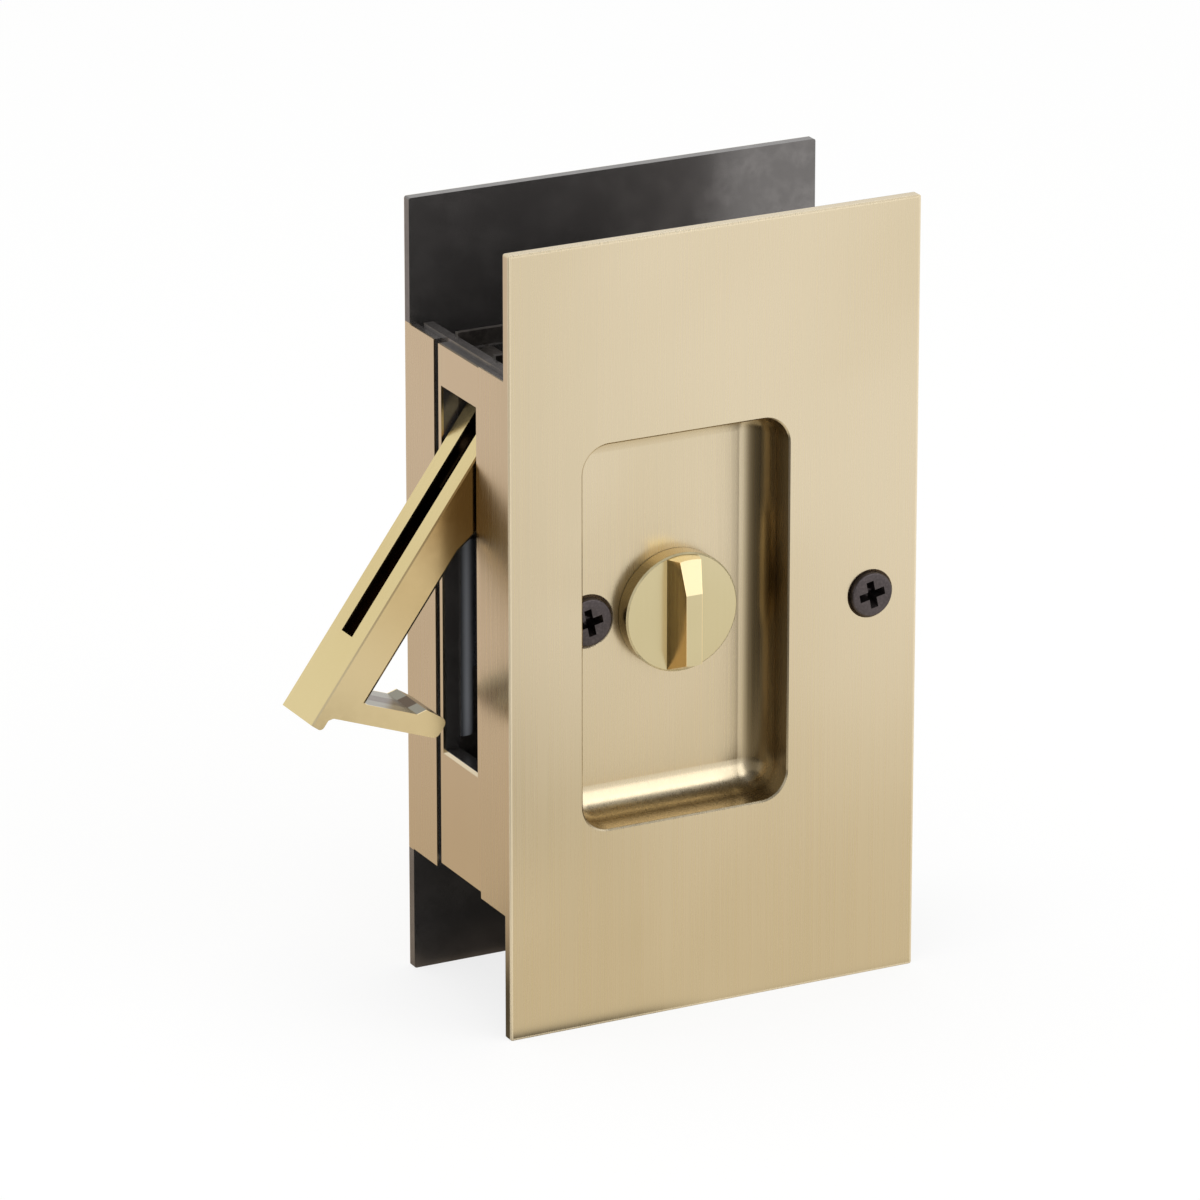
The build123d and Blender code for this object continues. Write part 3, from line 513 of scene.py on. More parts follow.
@dataclass(frozen=True, kw_only=True)
class PlateBrass(PlatedMetal):
    """Finish of the two plates: brass outside, inside their cups and on the flange's edge face.

    The far plate's rim is blackened with its inner side.
    """

    slot: Slot = Slot.PLATE_BRASS
    roughness: float = 0.25
    roughness_range: float = 0.06
    relief: float = 0.06 * MICRON
    streak: float = 0.15
    front_rim_y: float = -17.55 * MM
    outer_y: float = 19.25 * MM
    flange_x: float = 0.3 * MM
    flange_half_h: float = 47.2 * MM
    cup_x: float = 33.0 * MM
    cup_half_w: float = 19.4 * MM
    cup_half_h: float = 34.1 * MM
    floor_y: float = 8.9 * MM
    # Painted highlight: across this width of the front's rounded edges the metallic share drops, so they
    # read paler
    break_w: float = 0.42 * MM
    break_metallic: float = 0.35
    # Painted shade in the cup: where it sets in, and the tint it multiplies the brass by, at the inner side
    # wall and at the ends
    side_from: Pair = (14.7 * MM, 17.3 * MM)
    side_wall_shade: Colour = (0.4, 0.36, 0.29)
    end_from: Pair = (32.7 * MM, 33.9 * MM)
    end_wall_shade: Colour = (0.6, 0.54, 0.42)

    def cup_painted_shade(self, sheet: NodeSheet, axes: dict[str, Socket]) -> Socket:
        """Tint of the painted shade on the inner side wall and at the ends of the cup.

        Args:
            sheet: Node tree of the material.
            axes: Object coordinates, split.

        Returns:
            Colour that the brass is multiplied by.
        """
        inward = sheet.math("SUBTRACT", axes["X"], self.cup_x)
        height = sheet.math("ABSOLUTE", axes["Z"])
        inside = sheet.both(
            sheet.below(sheet.math("ABSOLUTE", axes["Y"]), self.outer_y),
            sheet.below(sheet.math("ABSOLUTE", inward), self.cup_half_w),
            sheet.below(height, self.cup_half_h),
        )
        # painted shade: the brass darkens towards the cup's inner side wall and towards its ends
        side = sheet.blend(sheet.spread(inward, *self.side_from), WHITE, self.side_wall_shade)
        end = sheet.blend(sheet.spread(height, *self.end_from), WHITE, self.end_wall_shade)
        return sheet.blend(inside, WHITE, sheet.blend(1.0, side, end, MixMode.MULTIPLY))

    def brass(self, sheet: NodeSheet, effects: EffectLibrary) -> Surface:
        """Nodes for the brass, with painted shade in the cup and a painted highlight over the front's
        rounded edges.

        Args:
            sheet: Node tree of the material.
            effects: Shared effects.

        Returns:
            The sockets.
        """
        brass = super().brass(sheet, effects)
        axes = sheet.axes()
        # painted highlight: a band along the front's rounded edges, with a lower metallic share
        beside = sheet.above(sheet.gap(axes["X"], PLATE_X), PLATE_HALF_W - self.break_w)
        along = sheet.above(sheet.math("ABSOLUTE", axes["Z"]), PLATE_HIGH.z - self.break_w)
        near_face = sheet.below(axes["Y"], PLATE_LOW.y + self.break_w)
        edge = sheet.both(sheet.either(beside, along), near_face)
        metallic = sheet.between(edge, brass.metallic, self.break_metallic)
        colour = sheet.blend(1.0, brass.colour, self.cup_painted_shade(sheet, axes), MixMode.MULTIPLY)
        return Surface(colour, brass.roughness, brass.height, metallic)

    def shown(self, sheet: NodeSheet) -> Socket:
        """Mask of the brass faces of a plate.

        Args:
            sheet: Node tree of the material.

        Returns:
            Socket that is 1 on brass and 0 on plating.
        """
        axes = sheet.axes()
        height = sheet.math("ABSOLUTE", axes["Z"])
        front = sheet.below(axes["Y"], self.front_rim_y)
        rear = sheet.above(axes["Y"], self.outer_y)
        flange = sheet.both(sheet.below(axes["X"], self.flange_x), sheet.below(height, self.flange_half_h))
        cup = sheet.both(
            sheet.below(sheet.gap(axes["X"], self.cup_x), self.cup_half_w),
            sheet.below(height, self.cup_half_h),
            sheet.above(sheet.math("ABSOLUTE", axes["Y"]), self.floor_y),
        )
        return sheet.either(front, rear, flange, cup)


@dataclass(frozen=True, kw_only=True)
class LandBrass(PlatedMetal):
    """Finish of the faceplate: brass on the door edge only."""

    slot: Slot = Slot.LAND_BRASS
    roughness: float = 0.2
    roughness_range: float = 0.05
    relief: float = 0.2 * MICRON
    skin_x: float = 0.45 * MM

    def shown(self, sheet: NodeSheet) -> Socket:
        """Mask of the land's edge face, 1 on brass and 0 on plating."""
        return sheet.below(sheet.axes()["X"], self.skin_x)


@dataclass(frozen=True, kw_only=True)
class PullBrass(DrawnMetal):
    """Finish of the pull: satin brass, with painted shade on the walls inside its slot and painted light and
    shade on its flanks, light at the foot and dark near the hinge.
    """

    slot: Slot = Slot.PULL_BRASS
    light: Colour = (0.76, 0.63, 0.33)
    deep: Colour = (0.7, 0.56, 0.27)
    roughness: float = 0.19
    roughness_range: float = 0.06
    relief: float = 0.25 * MICRON
    grain: Triple = (900.0, 6000.0, 900.0)
    # Painted shade on the walls inside the pull's slot
    slot_shade: Colour = (0.1, 0.065, 0.035)
    flank_half_w: float = 5.6 * MM
    # Painted light and shade on the flanks: a light tone at the foot, a middle one at the waist, a dark one
    # near the hinge
    flank_light_and_shade: tuple[Colour, Colour, Colour] = ((0.97, 0.8, 0.48), (0.7, 0.53, 0.27), (0.4, 0.24, 0.085))
    flank_z: Triple = (-18.0 * MM, 4.0 * MM, 19.0 * MM)
    leg_x: float = 7.3 * MM
    leg_tone: Colour = (0.27, 0.255, 0.2)
    slot_y: float = -0.85 * MM
    slot_half_w: float = 2.04 * MM
    slot_from: Pair = (0.15 * MM, 0.45 * MM)

    def surface(self, sheet: NodeSheet, effects: EffectLibrary) -> Surface:
        """Nodes for the brass, the painted light and shade on its flanks and the painted shade on the walls
        of the slot.

        Args:
            sheet: Node tree of the material.
            effects: Shared effects.

        Returns:
            The sockets.
        """
        brass = super().surface(sheet, effects)
        shut = sheet.add(
            "ShaderNodeVectorRotate",
            {"Vector": sheet.place(), "Center": PULL_PIVOT, "Angle": -math.radians(PULL_OPEN_DEG)},
            rotation_type="Y_AXIS",
        )
        axes = sheet.axes(shut.outputs[0])
        aside = sheet.gap(axes["Y"], self.slot_y)
        foot, waist, hinge = self.flank_light_and_shade
        foot_z, waist_z, hinge_z = self.flank_z
        # painted light and shade along the flanks, from light at the foot to dark at the hinge
        tone = sheet.blend(sheet.spread(axes["Z"], foot_z, waist_z), foot, waist)
        tone = sheet.blend(sheet.spread(axes["Z"], waist_z, hinge_z), tone, hinge)
        colour = sheet.blend(sheet.above(axes["X"], self.leg_x), brass.colour, self.leg_tone)
        colour = sheet.blend(sheet.above(aside, self.flank_half_w), colour, tone)
        # painted shade inside the slot
        in_slot = sheet.both(sheet.below(aside, self.slot_half_w), sheet.spread(axes["X"], *self.slot_from))
        colour = sheet.blend(in_slot, colour, self.slot_shade)
        return Surface(colour, brass.roughness, brass.height, self.metallic)


@dataclass(frozen=True, kw_only=True)
class TurnBrass(DrawnMetal):
    """Finish of the turns: polished brass, with a painted reflection lightening the bar's flanks, painted
    shade on the disc's side and a painted highlight on the disc's edge.
    """

    slot: Slot = Slot.TURN_BRASS
    light: Colour = (0.71, 0.62, 0.385)
    deep: Colour = (0.64, 0.55, 0.32)
    roughness: float = 0.17
    roughness_range: float = 0.06
    relief: float = 0.5 * MICRON
    grain: Triple = (6000.0, 6000.0, 90.0)
    bar_half_w: float = 2.82 * MM
    foot_h: float = 0.05 * MM
    # Painted reflection: lighter, warmer brass on the bar's flanks
    flank_painted_light: Colour = (0.95, 0.75, 0.42)
    rim_r: float = 10.21 * MM
    rim_drop: float = 0.29 * MM
    # Painted highlight: the metallic share drops on the disc's front rim, so it reads pale
    rim_metallic: float = 0.4
    # Painted shade on the disc's side wall, outside this radius and below the rim
    side_r: float = 10.35 * MM
    side: Colour = (0.38, 0.29, 0.14)

    def surface(self, sheet: NodeSheet, effects: EffectLibrary) -> Surface:
        """Nodes for the brass, the painted reflection on the bar's flanks, the painted shade on the disc's
        side and the painted highlight on its edge.

        Args:
            sheet: Node tree of the material.
            effects: Shared effects.

        Returns:
            The sockets.
        """
        brass = super().surface(sheet, effects)
        axes = sheet.axes()
        aside = sheet.gap(axes["X"], SPINDLE_X)
        rise = sheet.math("SUBTRACT", TURN_FACE_Y, axes["Y"])
        beside = sheet.above(sheet.math("MULTIPLY_ADD", rise, BAR_TAPER, aside), self.bar_half_w)
        # mask of the bar's flanks, which get the painted reflection
        flank_painted_light = sheet.both(beside, sheet.above(rise, self.foot_h))
        reach = sheet.math("MULTIPLY_ADD", axes["Z"], axes["Z"], sheet.math("MULTIPLY", aside, aside))
        rim = sheet.both(sheet.above(reach, self.rim_r**2), sheet.above(rise, -self.rim_drop))
        wall = sheet.both(sheet.above(reach, self.side_r**2), sheet.below(rise, -self.rim_drop))
        colour = sheet.blend(flank_painted_light, brass.colour, self.flank_painted_light)
        # painted shade on the disc's side wall
        colour = sheet.blend(wall, colour, self.side)
        # painted highlight on the disc's rim, by a lower metallic share
        metallic = sheet.between(rim, self.metallic, self.rim_metallic)
        return Surface(colour, brass.roughness, brass.height, metallic)


@dataclass(frozen=True, kw_only=True)
class FleckedSkin(Finish):
    """Blackened metal or moulded plastic with fine specks."""

    fleck: float = 900.0
    fleck_share: float = 0.5
    drift: float = 60.0

    def surface(self, sheet: NodeSheet, effects: EffectLibrary) -> Surface:
        """Nodes for the specks and slow patches.

        Args:
            sheet: Node tree of the material.
            effects: Shared effects.

        Returns:
            The sockets.
        """
        fleck = sheet.effect(effects.fleck, Scale=self.fleck)
        drift = sheet.effect(effects.drift, Scale=self.drift)
        share = sheet.weigh(drift["Patch"], fleck["Fleck"], self.fleck_share)
        colour = sheet.blend(share, self.deep, self.light)
        return Surface(colour, self.rough(sheet, drift["Patch"]), fleck["Height"], self.metallic)


@dataclass(frozen=True, kw_only=True)
class LinerSkin(FleckedSkin):
    """Gloss black moulding, with a painted grey sheen along the line that the pull's side runs on."""

    slot: Slot = Slot.LINER_BLACK
    light: Colour = (0.035, 0.036, 0.04)
    deep: Colour = (0.02, 0.021, 0.024)
    roughness: float = 0.14
    roughness_range: float = 0.08
    relief: float = 1.0 * MICRON
    metallic: float = 0.0
    coat: float = 1.0
    # Painted sheen: a grey band at one depth from the door edge that stands in for a highlight
    painted_sheen: Colour = (0.4, 0.42, 0.46)
    sheen_x: float = 4.3 * MM
    sheen_half_w: float = 1.7 * MM
    sheen_fade: float = 2.0

    def surface(self, sheet: NodeSheet, effects: EffectLibrary) -> Surface:
        """Nodes for the black skin and its painted sheen line.

        Args:
            sheet: Node tree of the material.
            effects: Shared effects.

        Returns:
            The sockets.
        """
        skin = super().surface(sheet, effects)
        # painted sheen, strongest on its line and fading to each side
        aside = sheet.gap(sheet.axes()["X"], self.sheen_x)
        sheen_mask = sheet.math("POWER", sheet.spread(aside, 0.0, self.sheen_half_w, 1.0, 0.0), self.sheen_fade)
        colour = sheet.blend(sheen_mask, skin.colour, self.painted_sheen)
        return Surface(colour, skin.roughness, skin.height, self.metallic)


@dataclass
class FinishBook:
    """The part's materials, one per record slot, with the two-sided brasses beside them."""

    effects: EffectLibrary = field(default_factory=EffectLibrary)
    materials: dict[Slot, bpy.types.Material] = field(default_factory=dict)

    def build(self) -> None:
        """Make every material."""
        bronze = FleckedSkin(
            slot=Slot.DARK_BRONZE,
            light=(0.15, 0.127, 0.128),
            deep=(0.065, 0.056, 0.057),
            roughness=0.34,
            roughness_range=0.14,
            relief=2.0 * MICRON,
            fleck=2600.0,
        )
        blackened = FleckedSkin(
            slot=Slot.CASE_STEEL,
            light=(0.14, 0.125, 0.112),
            deep=(0.06, 0.053, 0.047),
            roughness=0.32,
            roughness_range=0.18,
            relief=2.0 * MICRON,
            metallic=0.75,
        )
        moulded = FleckedSkin(
            slot=Slot.NYLON,
            light=(0.055, 0.055, 0.056),
            deep=(0.03, 0.03, 0.031),
            roughness=0.42,
            roughness_range=0.12,
            relief=3.0 * MICRON,
            metallic=0.0,
            fleck=1500.0,
        )
        zinc = DrawnMetal(
            slot=Slot.BOLT_STEEL,
            light=(0.60, 0.59, 0.57),
            deep=(0.46, 0.455, 0.45),
            roughness=0.26,
            roughness_range=0.14,
            relief=1.0 * MICRON,
            grain=(3200.0, 3200.0, 160.0),
        )
        wire = DrawnMetal(
            slot=Slot.SPRING_STEEL,
            light=(0.42, 0.415, 0.41),
            deep=(0.28, 0.275, 0.27),
            roughness=0.22,
            roughness_range=0.14,
            relief=0.6 * MICRON,
            grain=(2600.0, 2600.0, 2600.0),
        )
        brasses = (PlateBrass(), LandBrass(), PullBrass(), TurnBrass())
        for finish in (*brasses, LinerSkin(), bronze, blackened, moulded, zinc, wire):
            self.materials[finish.slot] = finish.material(self.effects)
            LOG.info("finish %s", finish.slot.value)

    def dress(self, piece: bpy.types.Object, slot: Slot) -> None:
        """Give a piece one of the materials.

        Args:
            piece: CAD node or new piece.
            slot: Which material.
        """
        piece.data.materials.clear()
        piece.data.materials.append(self.materials[slot])
        LOG.info("piece %s in %s", piece.name, slot.value)

    def dress_nodes(self, slot: Slot, *nodes: str) -> None:
        """Give CAD nodes one of the materials.

        Args:
            slot: Which material.
            nodes: Names of the nodes.
        """
        for node in nodes:
            self.dress(frame["nodes"][node], slot)


class Bench:
    """Modelling steps that the new pieces share."""

    MERGE = 0.2 * MICRON
    FACING = 0.9

    @staticmethod
    def clear() -> None:
        """Leave edit mode and deselect everything."""
        if bpy.context.object and bpy.context.object.mode != "OBJECT":
            bpy.ops.object.mode_set(mode="OBJECT")
        bpy.ops.object.select_all(action="DESELECT")

    @staticmethod
    def focus(piece: bpy.types.Object) -> None:
        """Make a piece the only one that is selected, and the active one."""
        Bench.clear()
        piece.select_set(True)
        bpy.context.view_layer.objects.active = piece

    @staticmethod
    def faces_down(face: bpy.types.MeshPolygon) -> bool:
        """Whether a face looks straight down."""
        return face.normal.z < -Bench.FACING

    @staticmethod
    def pick(kind: Element, test: Callable[[Any], bool]) -> None:
        """Select elements of the piece in edit mode by a test.

        Args:
            kind: What is selected.
            test: Test on one point, edge or face of the mesh.
        """
        mesh = bpy.context.object.data
        bpy.ops.mesh.select_mode(type=kind.value)
        bpy.ops.mesh.select_all(action="DESELECT")
        bpy.ops.object.mode_set(mode="OBJECT")
        elements = {Element.POINT: mesh.vertices, Element.EDGE: mesh.edges, Element.FACE: mesh.polygons}
        for element in elements[kind]:
            element.select = test(element)
        bpy.ops.object.mode_set(mode="EDIT")

    @staticmethod
    def settle(name: str, crisp_deg: float = 32.0) -> bpy.types.Object:
        """Bake the active object's place into its mesh, close it up and name it.

        Args:
            name: Name of the finished piece.
            crisp_deg: Angle from which an edge stays sharp.

        Returns:
            The piece, at the origin.
        """
        piece = bpy.context.object
        bpy.ops.object.mode_set(mode="EDIT")
        bpy.ops.mesh.select_all(action="SELECT")
        bpy.ops.mesh.remove_doubles(threshold=Bench.MERGE)
        bpy.ops.mesh.normals_make_consistent(inside=False)
        bpy.ops.object.mode_set(mode="OBJECT")
        bpy.ops.object.transform_apply()
        bpy.ops.object.shade_smooth_by_angle(angle=math.radians(crisp_deg))
        piece.name = name
        piece.data.name = name
        return piece


@dataclass
class Plates:
    """The two brass plates with their cups and flanges."""

    nodes: tuple[str, ...] = ("front_plate", "rear_plate")

    def dress(self, book: FinishBook) -> None:
        """Give the plates their two-sided brass."""
        book.dress_nodes(Slot.PLATE_BRASS, *self.nodes)


@dataclass
class EdgeFront:
    """The land on the door edge and what lies behind its window."""

    land: str = "edge_faceplate"
    liner: str = "pocket_liner"
    catch: str = "pull_catch"

    def dress(self, book: FinishBook) -> None:
        """Brass land, gloss black liner and moulded catch."""
        book.dress_nodes(Slot.LAND_BRASS, self.land)
        book.dress_nodes(Slot.LINER_BLACK, self.liner)
        book.dress_nodes(Slot.NYLON, self.catch)


@dataclass
class CaseBox:
    """The blackened case, its cover and the cover's screws."""

    sheets: tuple[str, ...] = ("lock_case", "case_cover")
    screws: str = "case_screws"

    def dress(self, book: FinishBook) -> None:
        """Blackened sheets and bright screws."""
        book.dress_nodes(Slot.CASE_STEEL, *self.sheets)
        book.dress_nodes(Slot.BOLT_STEEL, self.screws)


@dataclass
class EdgePull:
    """The slotted pull, its pin and the wound spring that throws it out."""

    pull: str = "edge_pull"
    pin: str = "pull_pivot_pin"
    wire_r: float = 0.28 * MM
    wire_sides: int = 14
    coil_r: float = 2.3 * MM
    first_y: float = -1.78 * MM
    last_y: float = 0.08 * MM
    case_leg_deg: float = 97.0
    pull_leg_deg: float = 144.1
    turns: int = 3
    coil_steps: int = 120
    leg: float = 8.6 * MM
    ring_reach: float = 1.2
    ring_flat: float = 0.05

    def build(self, book: FinishBook) -> None:
        """Wind the spring: a coil with one leg to the case and one in the pull's slot.

        Args:
            book: Finishes.
        """
        Bench.clear()
        sweep = math.radians(self.pull_leg_deg - self.case_leg_deg) + self.turns * math.tau
        rise = self.first_y - self.last_y
        upright = (math.pi / 2, 0.0, 0.0)
        near_end = (PULL_PIVOT[0], self.first_y, PULL_PIVOT[2])
        bpy.ops.mesh.primitive_circle_add(
            vertices=self.wire_sides, radius=self.wire_r, location=(self.coil_r, 0.0, 0.0), rotation=upright
        )
        bpy.ops.object.transform_apply()
        wire = bpy.context.object
        coil = wire.modifiers.new("coil", "SCREW")
        coil.axis = "Z"
        coil.angle = sweep
        coil.screw_offset = rise
        coil.steps = coil.render_steps = self.coil_steps
        bpy.ops.object.modifier_apply(modifier=coil.name)
        bpy.ops.object.mode_set(mode="EDIT")
        for angle, height, sense in ((0.0, 0.0, -1.0), (sweep, rise, 1.0)):
            self._draw_leg(angle, height, sense)
        bpy.ops.object.mode_set(mode="OBJECT")
        wire.rotation_euler = upright
        wire.location = near_end
        bpy.ops.object.transform_apply()
        bpy.ops.object.mode_set(mode="EDIT")
        bpy.ops.mesh.select_all(action="SELECT")
        start = math.radians(self.case_leg_deg)
        bpy.ops.transform.rotate(value=start, orient_axis="Y", center_override=near_end)
        spring = Bench.settle("pull_spring_coil")
        book.dress(spring, Slot.SPRING_STEEL)
        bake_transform(spring)
        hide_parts("pull_spring")

    def _draw_leg(self, angle: float, height: float, sense: float) -> None:
        """Pull the coil's open end out into a straight leg and cap it.

        Args:
            angle: Where the coil ends, before it is turned to its place.
            height: Height of that end along the coil.
            sense: 1 where the wire runs on, -1 at its beginning.
        """
        centre = Vector((self.coil_r * math.cos(angle), self.coil_r * math.sin(angle), height))
        way = Vector((-math.sin(angle), math.cos(angle), 0.0)) * sense

        def at_end(vertex: bpy.types.MeshVertex) -> bool:
            """Whether a vertex is on the ring of wire at this end."""
            gap = vertex.co - centre
            level = abs(gap.dot(way)) < self.ring_flat * self.wire_r
            return level and gap.length < self.ring_reach * self.wire_r

        Bench.pick(Element.POINT, at_end)
        bpy.ops.mesh.extrude_region_move(TRANSFORM_OT_translate={"value": way * self.leg})
        bpy.ops.mesh.edge_face_add()

    def dress(self, book: FinishBook) -> None:
        """Yellow brass pull on a steel pin."""
        book.dress_nodes(Slot.PULL_BRASS, self.pull)
        book.dress_nodes(Slot.BOLT_STEEL, self.pin)


@dataclass
class BoltDrive:
    """The hook bolt and the parts that swing it."""

    steel: tuple[str, ...] = (
        "hook_bolt",
        "bolt_pivot_pin",
        "bolt_link_pin",
        "drive_link",
        "spindle_cam",
        "crank_pin",
        "spindle",
    )
    leaf: str = "detent_spring"

    def dress(self, book: FinishBook) -> None:
        """Bright steel drive and a spring leaf."""
        book.dress_nodes(Slot.BOLT_STEEL, *self.steel)
        book.dress_nodes(Slot.SPRING_STEEL, self.leaf)


@dataclass
class Turns:
    """Thumbturn, coin turn, their clips and bushes."""

    brass: tuple[str, ...] = ("thumbturn", "emergency_turn")
    clips: tuple[str, ...] = ("thumbturn_clip", "emergency_clip")
    bushes: tuple[str, ...] = ("front_bush", "rear_bush")
    tail_z: float = -9.0 * MM
    tail_h: float = 3.03 * MM
    tail_proud: float = 1.37 * MM
    tail_back: float = 2.0 * MM
    bar_half_w: float = 2.9 * MM
    foot_h: float = 0.05 * MM
    merge: float = 1.0 * MICRON
    level_digits: int = 8
    level_reach: float = 0.02 * MICRON
    crisp_deg: float = 12.0

    def build(self, book: FinishBook) -> None:
        """Recut the lower end of the thumbturn's bar on a copy: level front, sloped end.

        Args:
            book: Finishes.
        """
        Bench.focus(frame["nodes"]["thumbturn"])
        bpy.ops.object.duplicate()
        knob = bpy.context.object
        del knob["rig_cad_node"]
        bpy.ops.object.mode_set(mode="EDIT")
        bpy.ops.mesh.select_all(action="SELECT")
        bpy.ops.mesh.customdata_custom_splitnormals_clear()
        bpy.ops.mesh.remove_doubles(threshold=self.merge)
        bpy.ops.object.mode_set(mode="OBJECT")
        rises = [TURN_FACE_Y - vertex.co.y for vertex in knob.data.vertices if vertex.co.z < self.tail_z]
        levels = {round(rise, self.level_digits) for rise in rises if rise > self.foot_h}
        bpy.ops.object.mode_set(mode="EDIT")
        for height in sorted(levels, reverse=True):
            self._shift_tail(height)
        knob = Bench.settle("thumbturn_knob", self.crisp_deg)
        book.dress(knob, Slot.TURN_BRASS)
        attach(knob, Body.TURN.value)
        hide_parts("thumbturn")

    def _shift_tail(self, height: float) -> None:
        """Move the points of the bar's lower end that stand at one height above the disc.

        Args:
            height: Their height.
        """

        def at_height(vertex: bpy.types.MeshVertex) -> bool:
            """Whether a point of the lower end stands at this height."""
            return vertex.co.z < self.tail_z and abs(TURN_FACE_Y - vertex.co.y - height) < self.level_reach

        Bench.pick(Element.POINT, at_height)
        share = height / self.tail_h
        proud = share * self.tail_proud
        bpy.ops.transform.translate(value=(0.0, -proud, share * self.tail_back))
        half_w = self.bar_half_w - BAR_TAPER * height
        narrow = (half_w - BAR_TAPER * proud) / half_w
        bpy.ops.transform.resize(value=(narrow, 1.0, 1.0), center_override=(SPINDLE_X, 0.0, 0.0))

    def dress(self, book: FinishBook) -> None:
        """Polished turns, spring clips and nylon bushes."""
        book.dress_nodes(Slot.TURN_BRASS, *self.brass)
        book.dress_nodes(Slot.SPRING_STEEL, *self.clips)
        book.dress_nodes(Slot.NYLON, *self.bushes)


@dataclass(frozen=True)
class ScrewSeat:
    """The CAD node that a screw stands for, its place in metres and its head's radius in millimetres."""

    node: str
    x: float
    face_y: float
    head_r: float


@dataclass
class Fixings:
    """Cross-head screws, shaped in millimetres and then scaled, and the posts that they enter."""

    seats: tuple[ScrewSeat, ...] = (
        ScrewSeat("edge_screw", 19.2 * MM, -10.4 * MM, 4.15),
        ScrewSeat("back_screw", 68.0 * MM, -19.5 * MM, 3.85),
    )
    posts: tuple[str, ...] = ("edge_post", "back_post")
    proud: float = 0.9 * MM
    head_sides: int = 64
    shank_r: float = 2.05
    cone: float = 2.7
    rim: float = 1.35
    rim_round: float = 0.3
    rim_steps: int = 4
    length: float = 15.1
    tip: float = 1.0
    tip_share: float = 0.5
    cross_span: float = 4.9
    cross_w: float = 1.4
    cross_depth: float = 2.6
    cross_floor: float = 0.5
    cross_turn_deg: float = 12.0
    cut_over: float = 0.1
    merge: float = 1e-4

    def build(self, book: FinishBook) -> None:
        """Make both screws in place of their plain solids."""
        for seat in self.seats:
            self._screw(seat, book)

    def _screw(self, seat: ScrewSeat, book: FinishBook) -> None:
        """Make a screw with a rounded rim and a tapered cross recess.

        Args:
            seat: Where it sits.
            book: Finishes.
        """
        Bench.clear()
        middle = (0.0, 0.0, -self.rim / 2)
        bpy.ops.mesh.primitive_cylinder_add(
            vertices=self.head_sides, radius=seat.head_r, depth=self.rim, location=middle
        )
        screw = bpy.context.object
        bpy.ops.object.transform_apply()
        bpy.ops.object.mode_set(mode="EDIT")
        Bench.pick(Element.FACE, Bench.faces_down)
        steps = (
            (self.cone - self.rim, self.shank_r / seat.head_r),
            (self.length - self.cone - self.tip, 1.0),
            (self.tip, self.tip_share),
        )
        for drop, shrink in steps:
            bpy.ops.mesh.extrude_region_move(TRANSFORM_OT_translate={"value": (0.0, 0.0, -drop)})
            bpy.ops.transform.resize(value=(shrink, shrink, 1.0), center_override=(0.0, 0.0, 0.0))
        mesh = screw.data

        def on_rim(edge: bpy.types.MeshEdge) -> bool:
            """Whether an edge runs round the head's front."""
            return all(abs(mesh.vertices[index].co.z) < self.merge for index in edge.vertices)

        Bench.pick(Element.EDGE, on_rim)
        bpy.ops.mesh.bevel(offset=self.rim_round, segments=self.rim_steps, affect="EDGES")
        bpy.ops.object.mode_set(mode="OBJECT")
        self._cut_cross(screw)
        screw.scale = (MM, MM, MM)
        screw.rotation_euler = (math.pi / 2, 0.0, 0.0)
        screw.location = (seat.x, seat.face_y - self.proud, 0.0)
        screw = Bench.settle(seat.node + "_head")
        book.dress(screw, Slot.DARK_BRONZE)
        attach(screw, Body.LOCK.value)
        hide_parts(seat.node)

    def _cut_cross(self, screw: bpy.types.Object) -> None:
        """Cut the tapered cross into the head.

        Args:
            screw: The screw, still lying along Z.
        """
        Bench.clear()
        tall = self.cross_depth + self.cut_over
        bpy.ops.mesh.primitive_cube_add(size=1.0, location=(0.0, 0.0, self.cut_over - tall / 2))
        cutter = bpy.context.object
        cutter.scale = (self.cross_w, self.cross_w, tall)
        bpy.ops.object.transform_apply()
        bpy.ops.object.mode_set(mode="EDIT")
        for way in (Vector((1, 0, 0)), Vector((-1, 0, 0)), Vector((0, 1, 0)), Vector((0, -1, 0))):
            root = way * self.cross_w / 2

            def at_root(face: bpy.types.MeshPolygon, way: Vector = way, root: Vector = root) -> bool:
                """Whether an arm grows from a face of the middle block."""
                flat = Vector((face.center.x, face.center.y, 0.0))
                return face.normal.dot(way) > Bench.FACING and (flat - root).length < self.cross_w / 4

            Bench.pick(Element.FACE, at_root)
            reach = way * (self.cross_span - self.cross_w) / 2
            bpy.ops.mesh.extrude_region_move(TRANSFORM_OT_translate={"value": reach})
        Bench.pick(Element.FACE, Bench.faces_down)
        floor = (self.cross_floor, self.cross_floor, 1.0)
        bpy.ops.transform.resize(value=floor, center_override=(0.0, 0.0, 0.0))
        bpy.ops.object.mode_set(mode="OBJECT")
        cutter.rotation_euler = (0.0, 0.0, math.radians(self.cross_turn_deg))
        bpy.context.view_layer.update()
        Bench.focus(screw)
        cut = screw.modifiers.new("cross", "BOOLEAN")
        cut.operation = "DIFFERENCE"
        cut.solver = "EXACT"
        cut.object = cutter
        bpy.ops.object.modifier_apply(modifier=cut.name)
        bpy.data.objects.remove(cutter)
        bpy.ops.object.mode_set(mode="EDIT")
        bpy.ops.mesh.select_all(action="SELECT")
        bpy.ops.mesh.remove_doubles(threshold=self.merge)
        bpy.ops.mesh.quads_convert_to_tris(quad_method="BEAUTY", ngon_method="BEAUTY")
        bpy.ops.object.mode_set(mode="OBJECT")

    def dress(self, book: FinishBook) -> None:
        """Bright posts."""
        book.dress_nodes(Slot.BOLT_STEEL, *self.posts)


class StudioRays:
    """Kinds of ray that see the studio, as masks."""

    def __init__(self, sheet: NodeSheet) -> None:
        """Read the light path.

        Args:
            sheet: Node tree of the floor or the world.
        """
        rays = sheet.add("ShaderNodeLightPath").outputs
        self.camera: Socket = rays["Is Camera Ray"]
        self.mirrored = sheet.either(rays["Is Glossy Ray"], rays["Is Transmission Ray"])


